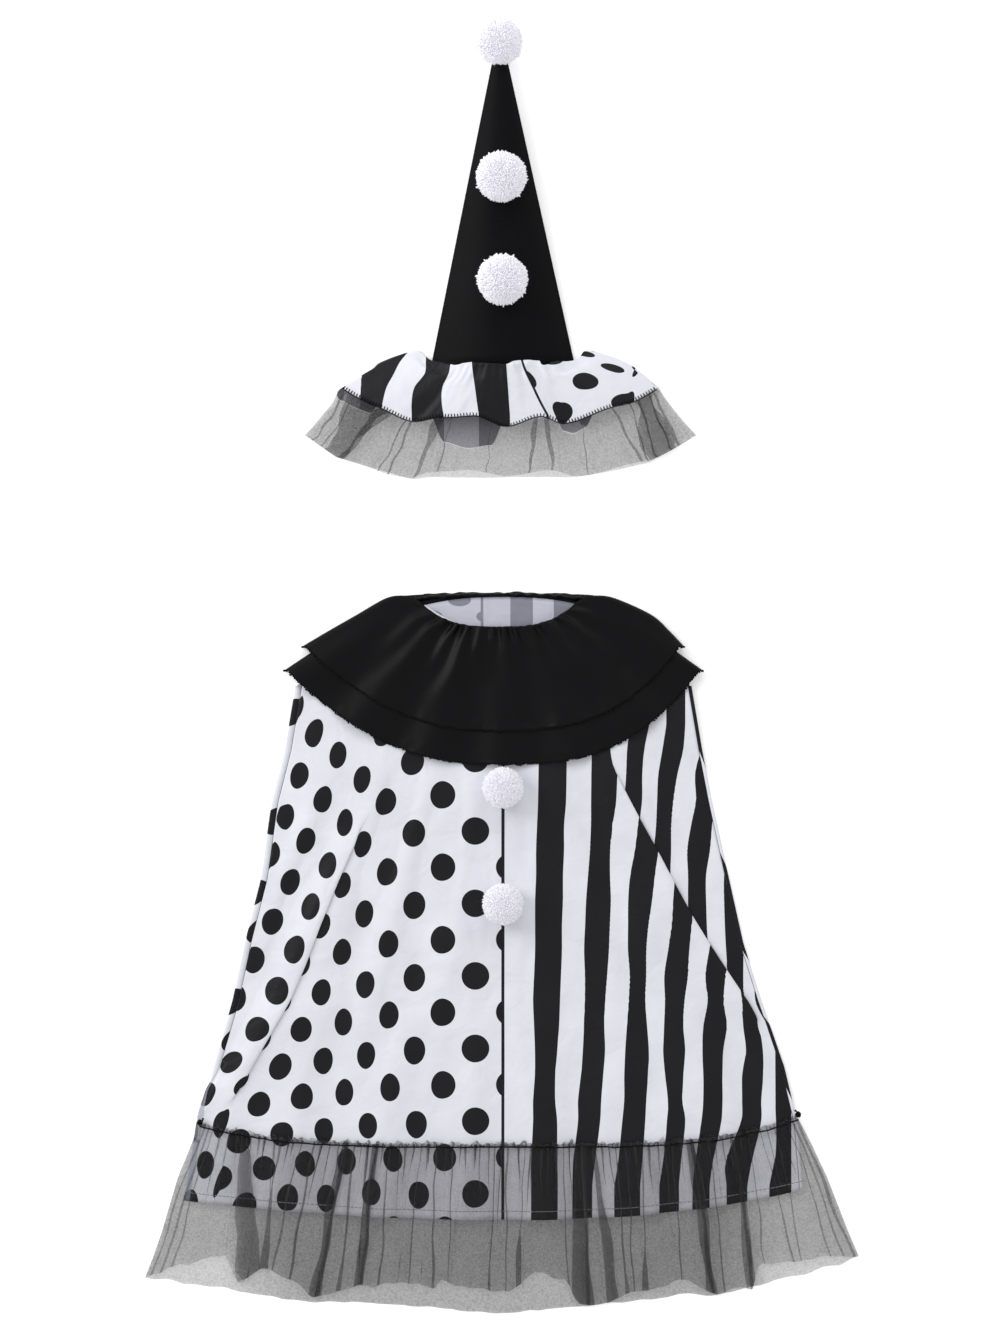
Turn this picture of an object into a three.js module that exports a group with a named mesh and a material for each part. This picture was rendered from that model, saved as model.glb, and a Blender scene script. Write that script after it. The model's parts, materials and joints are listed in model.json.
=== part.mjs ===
// A jester's cape and cone hat, laid flat on a table with the hat above the cape.
// Lengths are millimetres. +Z is up from the table and +Y runs from the cape's hem to the tip of the hat.
// The cape's own frame starts at the middle of its back neck edge, and the hat's at the middle of the
// cone's base. In both, "down" is the distance towards the hem, so y = -down.
import * as THREE from "three";

// Walls and layers
const CLOTH = 1.0; // satin, ruffle cloth and tulle
const FELT = 1.5; // the hat's cone
const LAYER = 1.5; // from the middle of one cloth to the middle of the next one lying on it
const LOOSE_LAYER = 2.1; // the same where the upper cloth only rests on the lower one
const BACK_ON_COLLAR = 3.2; // how much higher the cape's back lies where both collar tiers are under it
const SEAM_GAP = 0.5; // between the edges of two pieces that are sewn together

// Where the two frames lie in the part's frame
const CAPE_PLACE = { x: 1.76, y: 72.34 };
const HAT_PLACE = { x: 1.76, y: 308.34 };

// Cape body, a printed front and a printed back with side seams
const NECK_HALF = 77;
const NECK_FRONT_DOWN = 33;
const NECK_SIDE_DOWN = 8;
const SHOULDER_DOWN = 89;
const SHOULDER_CURVE = 1.5;
const HEM = { left: 603, centre: 622, right: 592, curve: 2.2 };
const BODY_ROWS = [
  0, 0.06, 0.13, 0.2, 0.24, 0.28, 0.33, 0.38, 0.44, 0.5, 0.56, 0.61, 0.66, 0.73, 0.82, 0.91, 1,
];
const SIDE_SEAM_INSET = { left: 6, right: 3 }; // the back turns over the side edge by this much
const BODY_SIDES = [
  { down: 89, left: 207, right: 188 },
  { down: 154, left: 218, right: 199 },
  { down: 205, left: 231, right: 209 },
  { down: 283, left: 242, right: 226 },
  { down: 346, left: 258, right: 240 },
  { down: 403, left: 270, right: 258 },
  { down: 470, left: 289, right: 281 },
  { down: 525, left: 303, right: 294 },
  { down: 622, left: 323, right: 302 },
];

// The two slanting drape pleats of the front. "edge" is the fold's distance from the centre line,
// "tuck" is how much cloth lies doubled, and "rise" goes from 0 (flat) to 1 (folded right over).
const PLEAT_RIGHT = [
  { down: 20, edge: 96, tuck: 2, rise: 0 },
  { down: 150, edge: 105, tuck: 2, rise: 0 },
  { down: 180, edge: 117, tuck: 2, rise: 1 },
  { down: 212, edge: 136, tuck: 9, rise: 1 },
  { down: 241, edge: 154, tuck: 18, rise: 1 },
  { down: 305, edge: 190, tuck: 20, rise: 1 },
  { down: 361, edge: 225, tuck: 14, rise: 1 },
  { down: 390, edge: 241, tuck: 2, rise: 1 },
  { down: 425, edge: 250, tuck: 2, rise: 0 },
  { down: 622, edge: 280, tuck: 2, rise: 0 },
];
const PLEAT_LEFT = [
  { down: 20, edge: 96, tuck: 2, rise: 0 },
  { down: 205, edge: 132, tuck: 2, rise: 0 },
  { down: 240, edge: 148, tuck: 2, rise: 1 },
  { down: 273, edge: 164, tuck: 8, rise: 1 },
  { down: 317, edge: 182, tuck: 13, rise: 1 },
  { down: 360, edge: 198, tuck: 11, rise: 1 },
  { down: 395, edge: 212, tuck: 2, rise: 1 },
  { down: 440, edge: 226, tuck: 2, rise: 0 },
  { down: 622, edge: 262, tuck: 2, rise: 0 },
];
const BODY_WAVES = { count: 7, height: 3.6, from: 230, to: 560 };

// Two-tier collar, each tier one gathered ring folded flat at the shoulders.
// "front" and "back" are how far down the middle of each half lies.
const COLLAR_UPPER = [
  { left: -90, right: 81, side: 2, front: 29, back: -3, backRise: 4.2 },
  { left: -102, right: 95, side: -1, front: 42, back: -6.5, backRise: 1.9 },
  { left: -118, right: 113, side: 2, front: 58, back: -5, backRise: 0 },
  { left: -146, right: 148, side: 18, front: 84, back: 58, backRise: 0 },
  { left: -174, right: 166, side: 34, front: 109, back: 92, backRise: 0 },
  { left: -201, right: 181, side: 50, front: 133, back: 122, backRise: 0 },
];
const COLLAR_LOWER = [
  { left: -85, right: 76, side: 4, front: 30.5, back: -2.4, backRise: 1.4 },
  { left: -95, right: 88, side: 6, front: 45, back: -3.4, backRise: 0.1 },
  { left: -146, right: 138, side: 28, front: 84, back: 48, backRise: 0 },
  { left: -184, right: 168, side: 51, front: 128, back: 108, backRise: 0 },
  { left: -219, right: 200, side: 74, front: 167, back: 156, backRise: 0 },
];
const COLLAR_ROUND = { left: 2.2, right: 3 };
const COLLAR_WAVES = { count: 19, height: 6, centreUp: 60, from: 110, to: 230, fadeFrom: 0.9, fadeTo: 1.15 };
const NECK_GATHERS = { count: 18, height: 1.6, reach: 0.45 };

// Tulle frill on the cape, one gathered strip on the front and one on the back
const TULLE_SEAM = { left: 527, centre: 549, right: 519, curve: 4 };
const TULLE_SIDES = [
  { down: 519, left: 302, right: 294 },
  { down: 539, left: 308, right: 309 },
  { down: 580, left: 325, right: 327 },
  { down: 634, left: 341, right: 343 },
  { down: 680, left: 358, right: 355 },
];
const TULLE_FRONT_HEM = { left: 662, centre: 690, right: 660, curve: 2, lobe: 5 };
const TULLE_BACK_HEM = { left: 681, centre: 717, right: 678, curve: 2, lobe: 2 };
const TULLE_LOFT = 0.4; // how much further the front strip stands off the cape
const TULLE_GATHERS = { count: 24, height: 3 };

// Hat cone, a felt wedge that lies with its tip propped on its own pompom
const CONE = {
  length: 295.9, baseHalf: 71, tipHalf: 8, lean: -3,
  baseHeight: 28, tipHeight: 5, tipLift: 15.5, nose: 1.3, roundness: 2.2,
};
// The hat's ruffle and its tulle edge, each a gathered ring with a front and a back half. "round" is
// how square the shoulders of a half are, "high" how high the ring stands, and "wave" how high its waves.
const HAT_RUFFLE = [
  { left: -76.5, right: 76.5, side: 3.4, front: 1.4, back: 1.4, high: 28, nose: 1.3, round: 2.2, wave: 0 },
  { left: -83, right: 83, side: -9, front: 8, back: 12, high: 27, nose: 1.8, round: 12, wave: 0.5 },
  { left: -98, right: 98, side: -7, front: 22, back: 26, high: 25, nose: 2, round: 3.4, wave: 2 },
  { left: -127, right: 128, side: 6, front: 42, back: 49, high: 20, nose: 2.4, round: 3.2, wave: 4 },
  { left: -162, right: 156, side: 28, front: 61, back: 72, high: 15, nose: 2.4, round: 3.2, wave: 6 },
];
const HAT_TULLE = [
  { left: -162, right: 156, side: 28.8, front: 61.8, back: 72.8, high: 15, nose: 2.4, round: 3.2, wave: 6 },
  { left: -181, right: 175, side: 52, front: 88, back: 95, high: 13.5, nose: 2.2, round: 2.6, wave: 4 },
  { left: -199, right: 194, side: 75, front: 112, back: 116, high: 12, nose: 2, round: 2.2, wave: 4 },
];
// Where the ruffle's edge dips towards the hem (1) and draws back from it (-1)
const HAT_LOBES = [
  { u: -1, dip: 0 }, { u: -0.78, dip: 0 }, { u: -0.57, dip: 1 }, { u: -0.36, dip: -0.5 },
  { u: -0.16, dip: -1 }, { u: 0.04, dip: 1 }, { u: 0.26, dip: -0.8 }, { u: 0.41, dip: 0.8 },
  { u: 0.7, dip: -0.6 }, { u: 0.88, dip: 0 }, { u: 1, dip: 0 },
];
const HAT_LOBE = 5;
const HAT_GATHERS = { count: 21, height: 1 };

// Pompoms. "seat" is the share of the radius at which the ball is flattened where it is sewn on, and
// "bareFrom" the cosine to the seat's direction from which it carries no locks.
const CORE_SHARE = 0.82;
const CAPE_POMPOM = { radius: 21, seat: 0.74, bareFrom: 0.55, downs: [190, 306] };
const HAT_POMPOM = { radius: 25.7, seat: 0.74, bareFrom: 0.55, downs: [-178.6, -76.6] };
const TIP_POMPOM = { radius: 23.8, seat: 1, bareFrom: 0.88, down: -315.4, x: -3.7 };

const SATIN = new THREE.MeshStandardMaterial({ color: "#e9e9ee", roughness: 0.5, metalness: 0 });
const BLACK_CLOTH = new THREE.MeshStandardMaterial({ color: "#17171a", roughness: 0.75, metalness: 0 });
const BLACK_FELT = new THREE.MeshStandardMaterial({ color: "#121214", roughness: 0.95, metalness: 0 });
const TULLE = new THREE.MeshStandardMaterial({
  color: "#3a3a3e", roughness: 0.85, metalness: 0, transparent: true, opacity: 0.5,
});
const YARN = new THREE.MeshStandardMaterial({ color: "#f4f4f7", roughness: 0.95, metalness: 0 });

const lerp = THREE.MathUtils.lerp;
const smooth = (value, from, to) => THREE.MathUtils.smoothstep(value, from, to);

// Numbers from first to last in equal steps, both ends included.
function steps(first, last, count) {
  return Array.from({ length: count + 1 }, (_, i) => lerp(first, last, i / count));
}

// Reads one column of a table at a value of its "down" column, with straight lines between the rows.
function readTable(rows, column, down) {
  let i = rows.findIndex((row) => row.down >= down);
  if (i === 0) return rows[0][column];
  if (i < 0) return rows[rows.length - 1][column];
  const share = (down - rows[i - 1].down) / (rows[i].down - rows[i - 1].down);
  return lerp(rows[i - 1][column], rows[i][column], share);
}

// A shallow curve across the garment: its end values at q = -1 and q = 1, its middle value at q = 0.
function acrossCurve(edge, q) {
  const ends = lerp(edge.left, edge.right, (q + 1) / 2);
  return ends + (edge.centre - ends) * (1 - Math.abs(q) ** edge.curve);
}

// Makes a closed wall from a grid of points on the cloth's middle surface.
// "around" says that each row closes on itself, as on a ring.
function clothWall(grid, thickness, around = false) {
  const rows = grid.length;
  const columns = grid[0].length;
  const positions = [];
  const wrap = (c) => (around ? (c + columns) % columns : THREE.MathUtils.clamp(c, 0, columns - 1));
  const row = (r) => THREE.MathUtils.clamp(r, 0, rows - 1);
  for (const side of [1, -1])
    for (let r = 0; r < rows; r++)
      for (let c = 0; c < columns; c++) {
        const across = grid[r][wrap(c + 1)].clone().sub(grid[r][wrap(c - 1)]);
        const along = grid[row(r + 1)][c].clone().sub(grid[row(r - 1)][c]);
        const normal = along.cross(across).normalize();
        positions.push(...grid[r][c].clone().addScaledVector(normal, (side * thickness) / 2));
      }
  const at = (side, r, c) => (side * rows + r) * columns + wrap(c);
  const faces = [];
  const quad = (a, b, c, d) => faces.push(a, b, c, a, c, d);
  const spans = around ? columns : columns - 1;
  for (let c = 0; c < spans; c++) {
    for (let r = 0; r < rows - 1; r++) {
      quad(at(0, r, c), at(0, r + 1, c), at(0, r + 1, c + 1), at(0, r, c + 1));
      quad(at(1, r, c), at(1, r, c + 1), at(1, r + 1, c + 1), at(1, r + 1, c));
    }
    quad(at(0, 0, c), at(0, 0, c + 1), at(1, 0, c + 1), at(1, 0, c));
    quad(at(0, rows - 1, c), at(1, rows - 1, c), at(1, rows - 1, c + 1), at(0, rows - 1, c + 1));
  }
  if (!around)
    for (let r = 0; r < rows - 1; r++) {
      quad(at(0, r, 0), at(1, r, 0), at(1, r + 1, 0), at(0, r + 1, 0));
      const end = columns - 1;
      quad(at(0, r, end), at(0, r + 1, end), at(1, r + 1, end), at(1, r, end));
    }
  const geometry = new THREE.BufferGeometry();
  geometry.setAttribute("position", new THREE.Float32BufferAttribute(positions, 3));
  geometry.setIndex(faces);
  geometry.computeVertexNormals();
  return geometry;
}

// One loop of a ring that is folded flat: the front half from left to right, the fold at the right,
// the back half from right to left, and the fold at the left. halves.front and halves.back give the
// down and z of a half at u, which runs from -1 at the left fold to 1 at the right fold.
function foldedLoop(left, right, halves, frontCount, backCount) {
  const turn = (u) => (halves.front(u).z - halves.back(u).z) / 2;
  const place = (u, half) => {
    const { down, z } = half(u);
    return new THREE.Vector3(lerp(left + turn(-1), right - turn(1), (u + 1) / 2), -down, z);
  };
  const front = steps(-1, 1, frontCount).map((u) => place(u, halves.front));
  const back = steps(1, -1, backCount).map((u) => place(u, halves.back));
  const fold = (from, to, outward) => {
    const middle = from.clone().add(to).multiplyScalar(0.5);
    const radius = from.distanceTo(to) / 2;
    return [0.25, 0.5, 0.75].map((share) => {
      const angle = Math.PI * share;
      const point = middle.clone().addScaledVector(from.clone().sub(middle), Math.cos(angle));
      point.x += outward * radius * Math.sin(angle);
      return point;
    });
  };
  const rightFold = fold(front[frontCount], back[0], 1);
  const leftFold = fold(back[backCount], front[0], -1);
  return [...front, ...rightFold, ...back, ...leftFold];
}

// Cape body

const bodySide = (side, down) => readTable(BODY_SIDES, side, down);
const sideName = (x) => (x < 0 ? "left" : "right");

// How far down the top edge of the front or back lies at x: the neck in the middle, then the shoulder.
function topEdge(x, neckMiddle) {
  const share = Math.abs(x) / NECK_HALF;
  if (share <= 1) return lerp(neckMiddle, NECK_SIDE_DOWN, share ** 2.4);
  const shoulderHalf = bodySide(sideName(x), SHOULDER_DOWN);
  const along = (Math.abs(x) - NECK_HALF) / (shoulderHalf - NECK_HALF);
  return lerp(NECK_SIDE_DOWN, SHOULDER_DOWN, along ** SHOULDER_CURVE);
}

// The down of a point of the body: q runs across from -1 to 1, v from the top edge to the hem.
function bodyDown(q, v, neckMiddle) {
  const top = topEdge(q * bodySide(sideName(q), SHOULDER_DOWN), neckMiddle);
  return lerp(top, acrossCurve(HEM, q), v);
}

// The down of a row of the body where it crosses x.
function rowDown(x, v, neckMiddle) {
  let down = lerp(SHOULDER_DOWN, HEM.centre, v);
  for (let pass = 0; pass < 4; pass++) {
    const q = THREE.MathUtils.clamp(x / bodySide(sideName(x), down), -1, 1);
    down = bodyDown(q, v, neckMiddle);
  }
  return down;
}

// The down of one half of a collar row at u, from -1 at the left fold to 1 at the right fold.
function collarArc(row, half, u) {
  const round = u < 0 ? COLLAR_ROUND.left : COLLAR_ROUND.right;
  return row.side + (row[half] - row.side) * (1 - Math.abs(u) ** round);
}

// How far down the hidden back half of the lower collar reaches at x.
function collarBackHem(x) {
  const hem = COLLAR_LOWER[COLLAR_LOWER.length - 1];
  const u = THREE.MathUtils.clamp((2 * x - hem.left - hem.right) / (hem.right - hem.left), -1, 1);
  return collarArc(hem, "back", u);
}

// Heights of the middle of each layer. The back lies on the table, but on the two collar tiers at
// the top and on the back tulle at the hem.
function backZ(x, down) {
  const overCollar = BACK_ON_COLLAR * (1 - smooth(down, collarBackHem(x) + 20, collarBackHem(x) + 124));
  const overTulle = LAYER * smooth(down, TULLE_SEAM.right - 84, TULLE_SEAM.right - 6);
  return CLOTH / 2 + overCollar + overTulle;
}

// Soft upright waves in the front, flat at the centre line and at both side seams.
function bodyWave(x, down) {
  const side = bodySide(sideName(x), down) - 8;
  const share = THREE.MathUtils.clamp(x / side, -1, 1);
  const fade = smooth(down, BODY_WAVES.from, BODY_WAVES.to) * smooth(1 - Math.abs(share), 0, 0.1);
  return (BODY_WAVES.height * fade * (1 - Math.cos(Math.PI * BODY_WAVES.count * share))) / 2;
}

const frontZ = (x, down) => backZ(x, down) + LOOSE_LAYER + bodyWave(x, down);

// The cross-section of a drape pleat as distances from the centre line and lifts above the cloth
// beside it. The cloth nearer the centre line lies on top.
function pleatSection(table, down) {
  const edge = readTable(table, "edge", down);
  const tuck = readTable(table, "tuck", down);
  const rise = readTable(table, "rise", down);
  const turn = LAYER / 2;
  const flat = [-30, -12, -8, -5, -2, 0, 2, 4, 7];
  const folded = [
    [-tuck - 30, 0], [-tuck - 6, 2], [-turn, 2], [0, 1.5], [-turn, 1],
    [-tuck, 1], [-tuck - turn, 0.5], [-tuck, 0], [7, 0],
  ];
  return folded.map(([distance, lift], i) => ({
    distance: edge + lerp(flat[i], distance, rise),
    lift: lift * LAYER * rise,
  }));
}

// The same pleat with the outer cloth on top, by turning the section round at its fold.
function pleatSectionOuter(table, down) {
  const edge = readTable(table, "edge", down);
  return pleatSection(table, down)
    .map(({ distance, lift }) => ({ distance: 2 * edge - distance, lift }))
    .reverse();
}

// One side of a front row, from the centre line out to the side seam.
function frontHalfRow(side, v, innerCount, outerCount) {
  const sign = side === "left" ? -1 : 1;
  const point = (distance, lift) => {
    const x = sign * distance;
    const down = rowDown(x, v, NECK_FRONT_DOWN);
    return new THREE.Vector3(x, -down, frontZ(x, down) + lift);
  };
  const pleatDown = bodyDown(sign * 0.5, v, NECK_FRONT_DOWN);
  const section =
    side === "left" ? pleatSectionOuter(PLEAT_LEFT, pleatDown) : pleatSection(PLEAT_RIGHT, pleatDown);
  const seamDown = bodyDown(sign, v, NECK_FRONT_DOWN);
  const seam = bodySide(side, seamDown) - SIDE_SEAM_INSET[side] - SEAM_GAP;
  const inner = steps(0, section[0].distance, innerCount).slice(0, -1);
  const outer = steps(section[section.length - 1].distance, seam, outerCount).slice(1, -1);
  return [
    ...inner.map((distance) => point(distance, 0)),
    ...section.map(({ distance, lift }) => point(distance, lift)),
    ...outer.map((distance) => point(distance, 0)),
    new THREE.Vector3(sign * seam, -seamDown, frontZ(sign * seam, seamDown)),
  ];
}

function frontPanel() {
  const grid = BODY_ROWS.map((v) => {
    const left = frontHalfRow("left", v, 10, 3).reverse();
    const right = frontHalfRow("right", v, 10, 3);
    return [...left, ...right.slice(1)];
  });
  return clothWall(grid, CLOTH);
}

// The back lies under the front and turns over both side edges to meet it at the side seams.
function backPanel() {
  const turn = LOOSE_LAYER / 2;
  const grid = BODY_ROWS.map((v) => {
    const turned = (side) => {
      const sign = side === "left" ? -1 : 1;
      const down = bodyDown(sign, v, 0);
      const edge = bodySide(side, down);
      const z = backZ(sign * edge, down);
      return [
        new THREE.Vector3(sign * (edge - SIDE_SEAM_INSET[side]), -down, z + LOOSE_LAYER),
        new THREE.Vector3(sign * (edge - turn), -down, z + LOOSE_LAYER),
        new THREE.Vector3(sign * edge, -down, z + turn),
        new THREE.Vector3(sign * (edge - turn), -down, z),
      ];
    };
    const lying = steps(-0.96, 0.96, 14).map((q) => {
      const down = bodyDown(q, v, 0);
      const x = q * bodySide(sideName(q), down);
      return new THREE.Vector3(x, -down, backZ(x, down));
    });
    return [...turned("left"), ...lying, ...turned("right").reverse()];
  });
  return clothWall(grid, CLOTH);
}

// Collar

// Radial waves that open out from the neck. Both tiers use it, so they nest.
function collarWave(x, down) {
  const { count, height, centreUp, from, to, fadeFrom, fadeTo } = COLLAR_WAVES;
  const angle = Math.atan2(x, down + centreUp);
  const reach = Math.hypot(x, down + centreUp);
  const fade = smooth(reach, from, to) * (1 - smooth(Math.abs(angle), fadeFrom, fadeTo));
  return (height * fade * (1 + Math.cos(count * angle))) / 2;
}

function collarTier(table, { tier, frontCount, backCount, gathers }) {
  const frontBase = CLOTH / 2 + BACK_ON_COLLAR + LAYER + (1 + tier) * LOOSE_LAYER;
  const backBase = CLOTH / 2 + (1 - tier) * LAYER;
  const grid = table.map((row, r) => {
    const share = r / (table.length - 1);
    const front = (u) => {
      const down = collarArc(row, "front", u);
      const x = lerp(row.left, row.right, (u + 1) / 2);
      const gather = (1 - smooth(share, 0, NECK_GATHERS.reach)) * (1 - u ** 6);
      const bump = gathers * NECK_GATHERS.height * gather * (1 - Math.cos(Math.PI * NECK_GATHERS.count * u));
      return { down, z: frontBase + collarWave(x, down) + bump / 2 };
    };
    const back = (u) => ({ down: collarArc(row, "back", u), z: backBase + row.backRise });
    return foldedLoop(row.left, row.right, { front, back }, frontCount, backCount);
  });
  return clothWall(grid, CLOTH, true);
}

// Cape tulle

const tulleSide = (side, down) => readTable(TULLE_SIDES, side, down);

function tulleStrip({ hem, columns, rows, height }) {
  const grid = rows.map((v) =>
    steps(-1, 1, columns).map((q) => {
      const lobe = hem.lobe * Math.sin(Math.PI * 5 * q) * v;
      const down = lerp(acrossCurve(TULLE_SEAM, q), acrossCurve(hem, q) + lobe, v);
      const x = q * tulleSide(sideName(q), down);
      return new THREE.Vector3(x, -down, height(x, down, q, v));
    }),
  );
  return clothWall(grid, CLOTH);
}

// The front strip lies on the front of the cape, then comes down onto the back strip past the hem.
function tulleFrontZ(x, down, q, v) {
  const hem = acrossCurve(HEM, q);
  const side = bodySide(sideName(x), down);
  const onBody = (1 - smooth(down, hem + 8, hem + 32)) * (1 - smooth(Math.abs(x), side + 4, side + 22));
  const lying = CLOTH / 2 + LAYER;
  const gather = TULLE_GATHERS.height * (0.4 + 0.6 * v) * (1 - Math.cos(Math.PI * TULLE_GATHERS.count * q));
  return lerp(lying, frontZ(x, down) + LOOSE_LAYER + TULLE_LOFT, onBody) + gather / 2;
}

function tulleFront() {
  return tulleStrip({
    hem: TULLE_FRONT_HEM,
    columns: 4 * TULLE_GATHERS.count,
    rows: [0, 0.25, 0.5, 0.68, 1],
    height: tulleFrontZ,
  });
}

function tulleBack() {
  return tulleStrip({
    hem: TULLE_BACK_HEM,
    columns: 40,
    rows: [0, 0.5, 1],
    height: () => CLOTH / 2,
  });
}

// Hat

// The height of a lens-shaped section over its back wall at u, from the fold's height to its full one.
function lens(u, height, nose, roundness) {
  return 2 * nose + (height - 2 * nose) * (1 - Math.abs(u) ** roundness);
}

function coneRow(share) {
  const half = lerp(CONE.baseHalf, CONE.tipHalf, share) - FELT / 2;
  const middle = CONE.lean * share;
  const down = -CONE.length * share;
  const lift = FELT / 2 + CONE.tipLift * share;
  const height = lerp(CONE.baseHeight, CONE.tipHeight, share);
  const front = (u) => ({ down, z: lift + lens(u, height, CONE.nose, CONE.roundness) });
  const back = () => ({ down, z: lift });
  return foldedLoop(middle - half, middle + half, { front, back }, 18, 6);
}

function coneZ(down) {
  const share = -down / CONE.length;
  return FELT + CONE.tipLift * share + lerp(CONE.baseHeight, CONE.tipHeight, share);
}

function hatLobe(u) {
  const i = Math.max(1, HAT_LOBES.findIndex((knot) => knot.u >= u));
  return lerp(HAT_LOBES[i - 1].dip, HAT_LOBES[i].dip, smooth(u, HAT_LOBES[i - 1].u, HAT_LOBES[i].u));
}

function hatRing(table, { frontCount, backCount, gathers }) {
  const grid = table.map((row) => {
    const share = row.wave / 6;
    const arc = (middle, u) => row.side + (middle - row.side) * (1 - Math.abs(u) ** row.round);
    const front = (u) => {
      const wave = (row.wave * (1 - hatLobe(u))) / 2;
      const gather = (gathers * HAT_GATHERS.height * (1 - Math.cos(Math.PI * HAT_GATHERS.count * u))) / 2;
      return {
        down: arc(row.front, u) + HAT_LOBE * share * hatLobe(u),
        z: CLOTH / 2 + lens(u, row.high, row.nose, CONE.roundness) + (wave + gather) * (1 - u ** 4),
      };
    };
    const back = (u) => ({ down: arc(row.back, u) + HAT_LOBE * share * hatLobe(-u), z: CLOTH / 2 });
    return foldedLoop(row.left, row.right, { front, back }, frontCount, backCount);
  });
  return clothWall(grid, CLOTH, true);
}

// Pompoms

// A ball of yarn: a faceted core with a three-sided lock of yarn standing on five of each eight faces.
// "towards" is the direction of its seat.
function pompom({ radius, seat, bareFrom }, towards) {
  const core = new THREE.IcosahedronGeometry(radius * CORE_SHARE, 1);
  const corners = core.getAttribute("position");
  const positions = [];
  const settle = (point) => {
    const over = point.dot(towards) - radius * seat;
    return over > 0 ? point.clone().addScaledVector(towards, -over) : point;
  };
  const face = (...points) => points.forEach((point) => positions.push(...settle(point)));
  for (let i = 0; i < corners.count; i += 3) {
    const [a, b, c] = [0, 1, 2].map((k) => new THREE.Vector3().fromBufferAttribute(corners, i + k));
    const centre = a.clone().add(b).add(c).divideScalar(3);
    const outward = centre.clone().normalize();
    const number = i / 3;
    const hasLock = (number * 5) % 8 < 5 && outward.dot(towards) < bareFrom;
    if (!hasLock) {
      face(a, b, c);
      continue;
    }
    const [p, q, r] = [a, b, c].map((corner) => corner.clone().lerp(centre, 0.22));
    const reach = radius * (0.96 + 0.04 * Math.sin(number * 2.4));
    const tip = outward.clone().multiplyScalar(reach);
    const crown = [p, q, r].map((root) =>
      root.clone().sub(centre).multiplyScalar(0.45).add(tip),
    );
    for (const [u, w, rootU, rootW] of [[a, b, p, q], [b, c, q, r], [c, a, r, p]]) {
      face(u, w, rootW);
      face(u, rootW, rootU);
    }
    for (const [j, k] of [[0, 1], [1, 2], [2, 0]]) {
      const roots = [p, q, r];
      face(roots[j], roots[k], crown[k]);
      face(roots[j], crown[k], crown[j]);
    }
    face(...crown);
  }
  const geometry = new THREE.BufferGeometry();
  geometry.setAttribute("position", new THREE.Float32BufferAttribute(positions, 3));
  geometry.computeVertexNormals();
  return geometry;
}

// Assembly

function piece(name, geometry, material) {
  const mesh = new THREE.Mesh(geometry, material);
  mesh.name = name;
  return mesh;
}

function sewnPompom(name, size, x, down, surface) {
  const ball = piece(name, pompom(size, new THREE.Vector3(0, 0, -1)), YARN);
  ball.position.set(x, -down, surface + SEAM_GAP + size.radius * size.seat);
  return ball;
}

const lowerTier = collarTier(COLLAR_LOWER, { tier: 0, frontCount: 44, backCount: 16, gathers: 0 });
const upperTier = collarTier(COLLAR_UPPER, { tier: 1, frontCount: 72, backCount: 16, gathers: 1 });

const cape = new THREE.Group();
cape.position.set(CAPE_PLACE.x, CAPE_PLACE.y, 0);
cape.add(
  piece("front_panel", frontPanel(), SATIN),
  piece("back_panel", backPanel(), SATIN),
  piece("collar_lower", lowerTier, BLACK_CLOTH),
  piece("collar_upper", upperTier, BLACK_CLOTH),
  piece("hem_tulle_front", tulleFront(), TULLE),
  piece("hem_tulle_back", tulleBack(), TULLE),
);
CAPE_POMPOM.downs.forEach((down, i) => {
  const surface = frontZ(0, down - CAPE_POMPOM.radius / 3) + CLOTH / 2;
  cape.add(sewnPompom("cape_pompom_" + (i + 1), CAPE_POMPOM, 0, down, surface));
});

const hat = new THREE.Group();
hat.position.set(HAT_PLACE.x, HAT_PLACE.y, 0);
hat.add(
  piece("hat_cone", clothWall(steps(0, 1, 2).map(coneRow), FELT, true), BLACK_FELT),
  piece("hat_ruffle", hatRing(HAT_RUFFLE, { frontCount: 50, backCount: 22, gathers: 0 }), SATIN),
  piece("hat_tulle", hatRing(HAT_TULLE, { frontCount: 84, backCount: 22, gathers: 1 }), TULLE),
);
HAT_POMPOM.downs.forEach((down, i) => {
  const x = (CONE.lean * -down) / CONE.length;
  hat.add(sewnPompom("hat_pompom_" + (i + 1), HAT_POMPOM, x, down, coneZ(down)));
});
const towardsCone = new THREE.Vector3(0, -1, -0.15).normalize();
const tipBall = piece("hat_pompom_tip", pompom(TIP_POMPOM, towardsCone), YARN);
tipBall.position.set(TIP_POMPOM.x, -TIP_POMPOM.down, TIP_POMPOM.radius + SEAM_GAP);
hat.add(tipBall);

const set = new THREE.Group();
set.add(hat, cape);
export default set;
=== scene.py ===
# A jester's cape and cone hat, laid flat on a pale table with the hat above the cape.
import bisect
import json
import math
import random

import bpy
from mathutils import Matrix, Vector, noise

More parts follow.
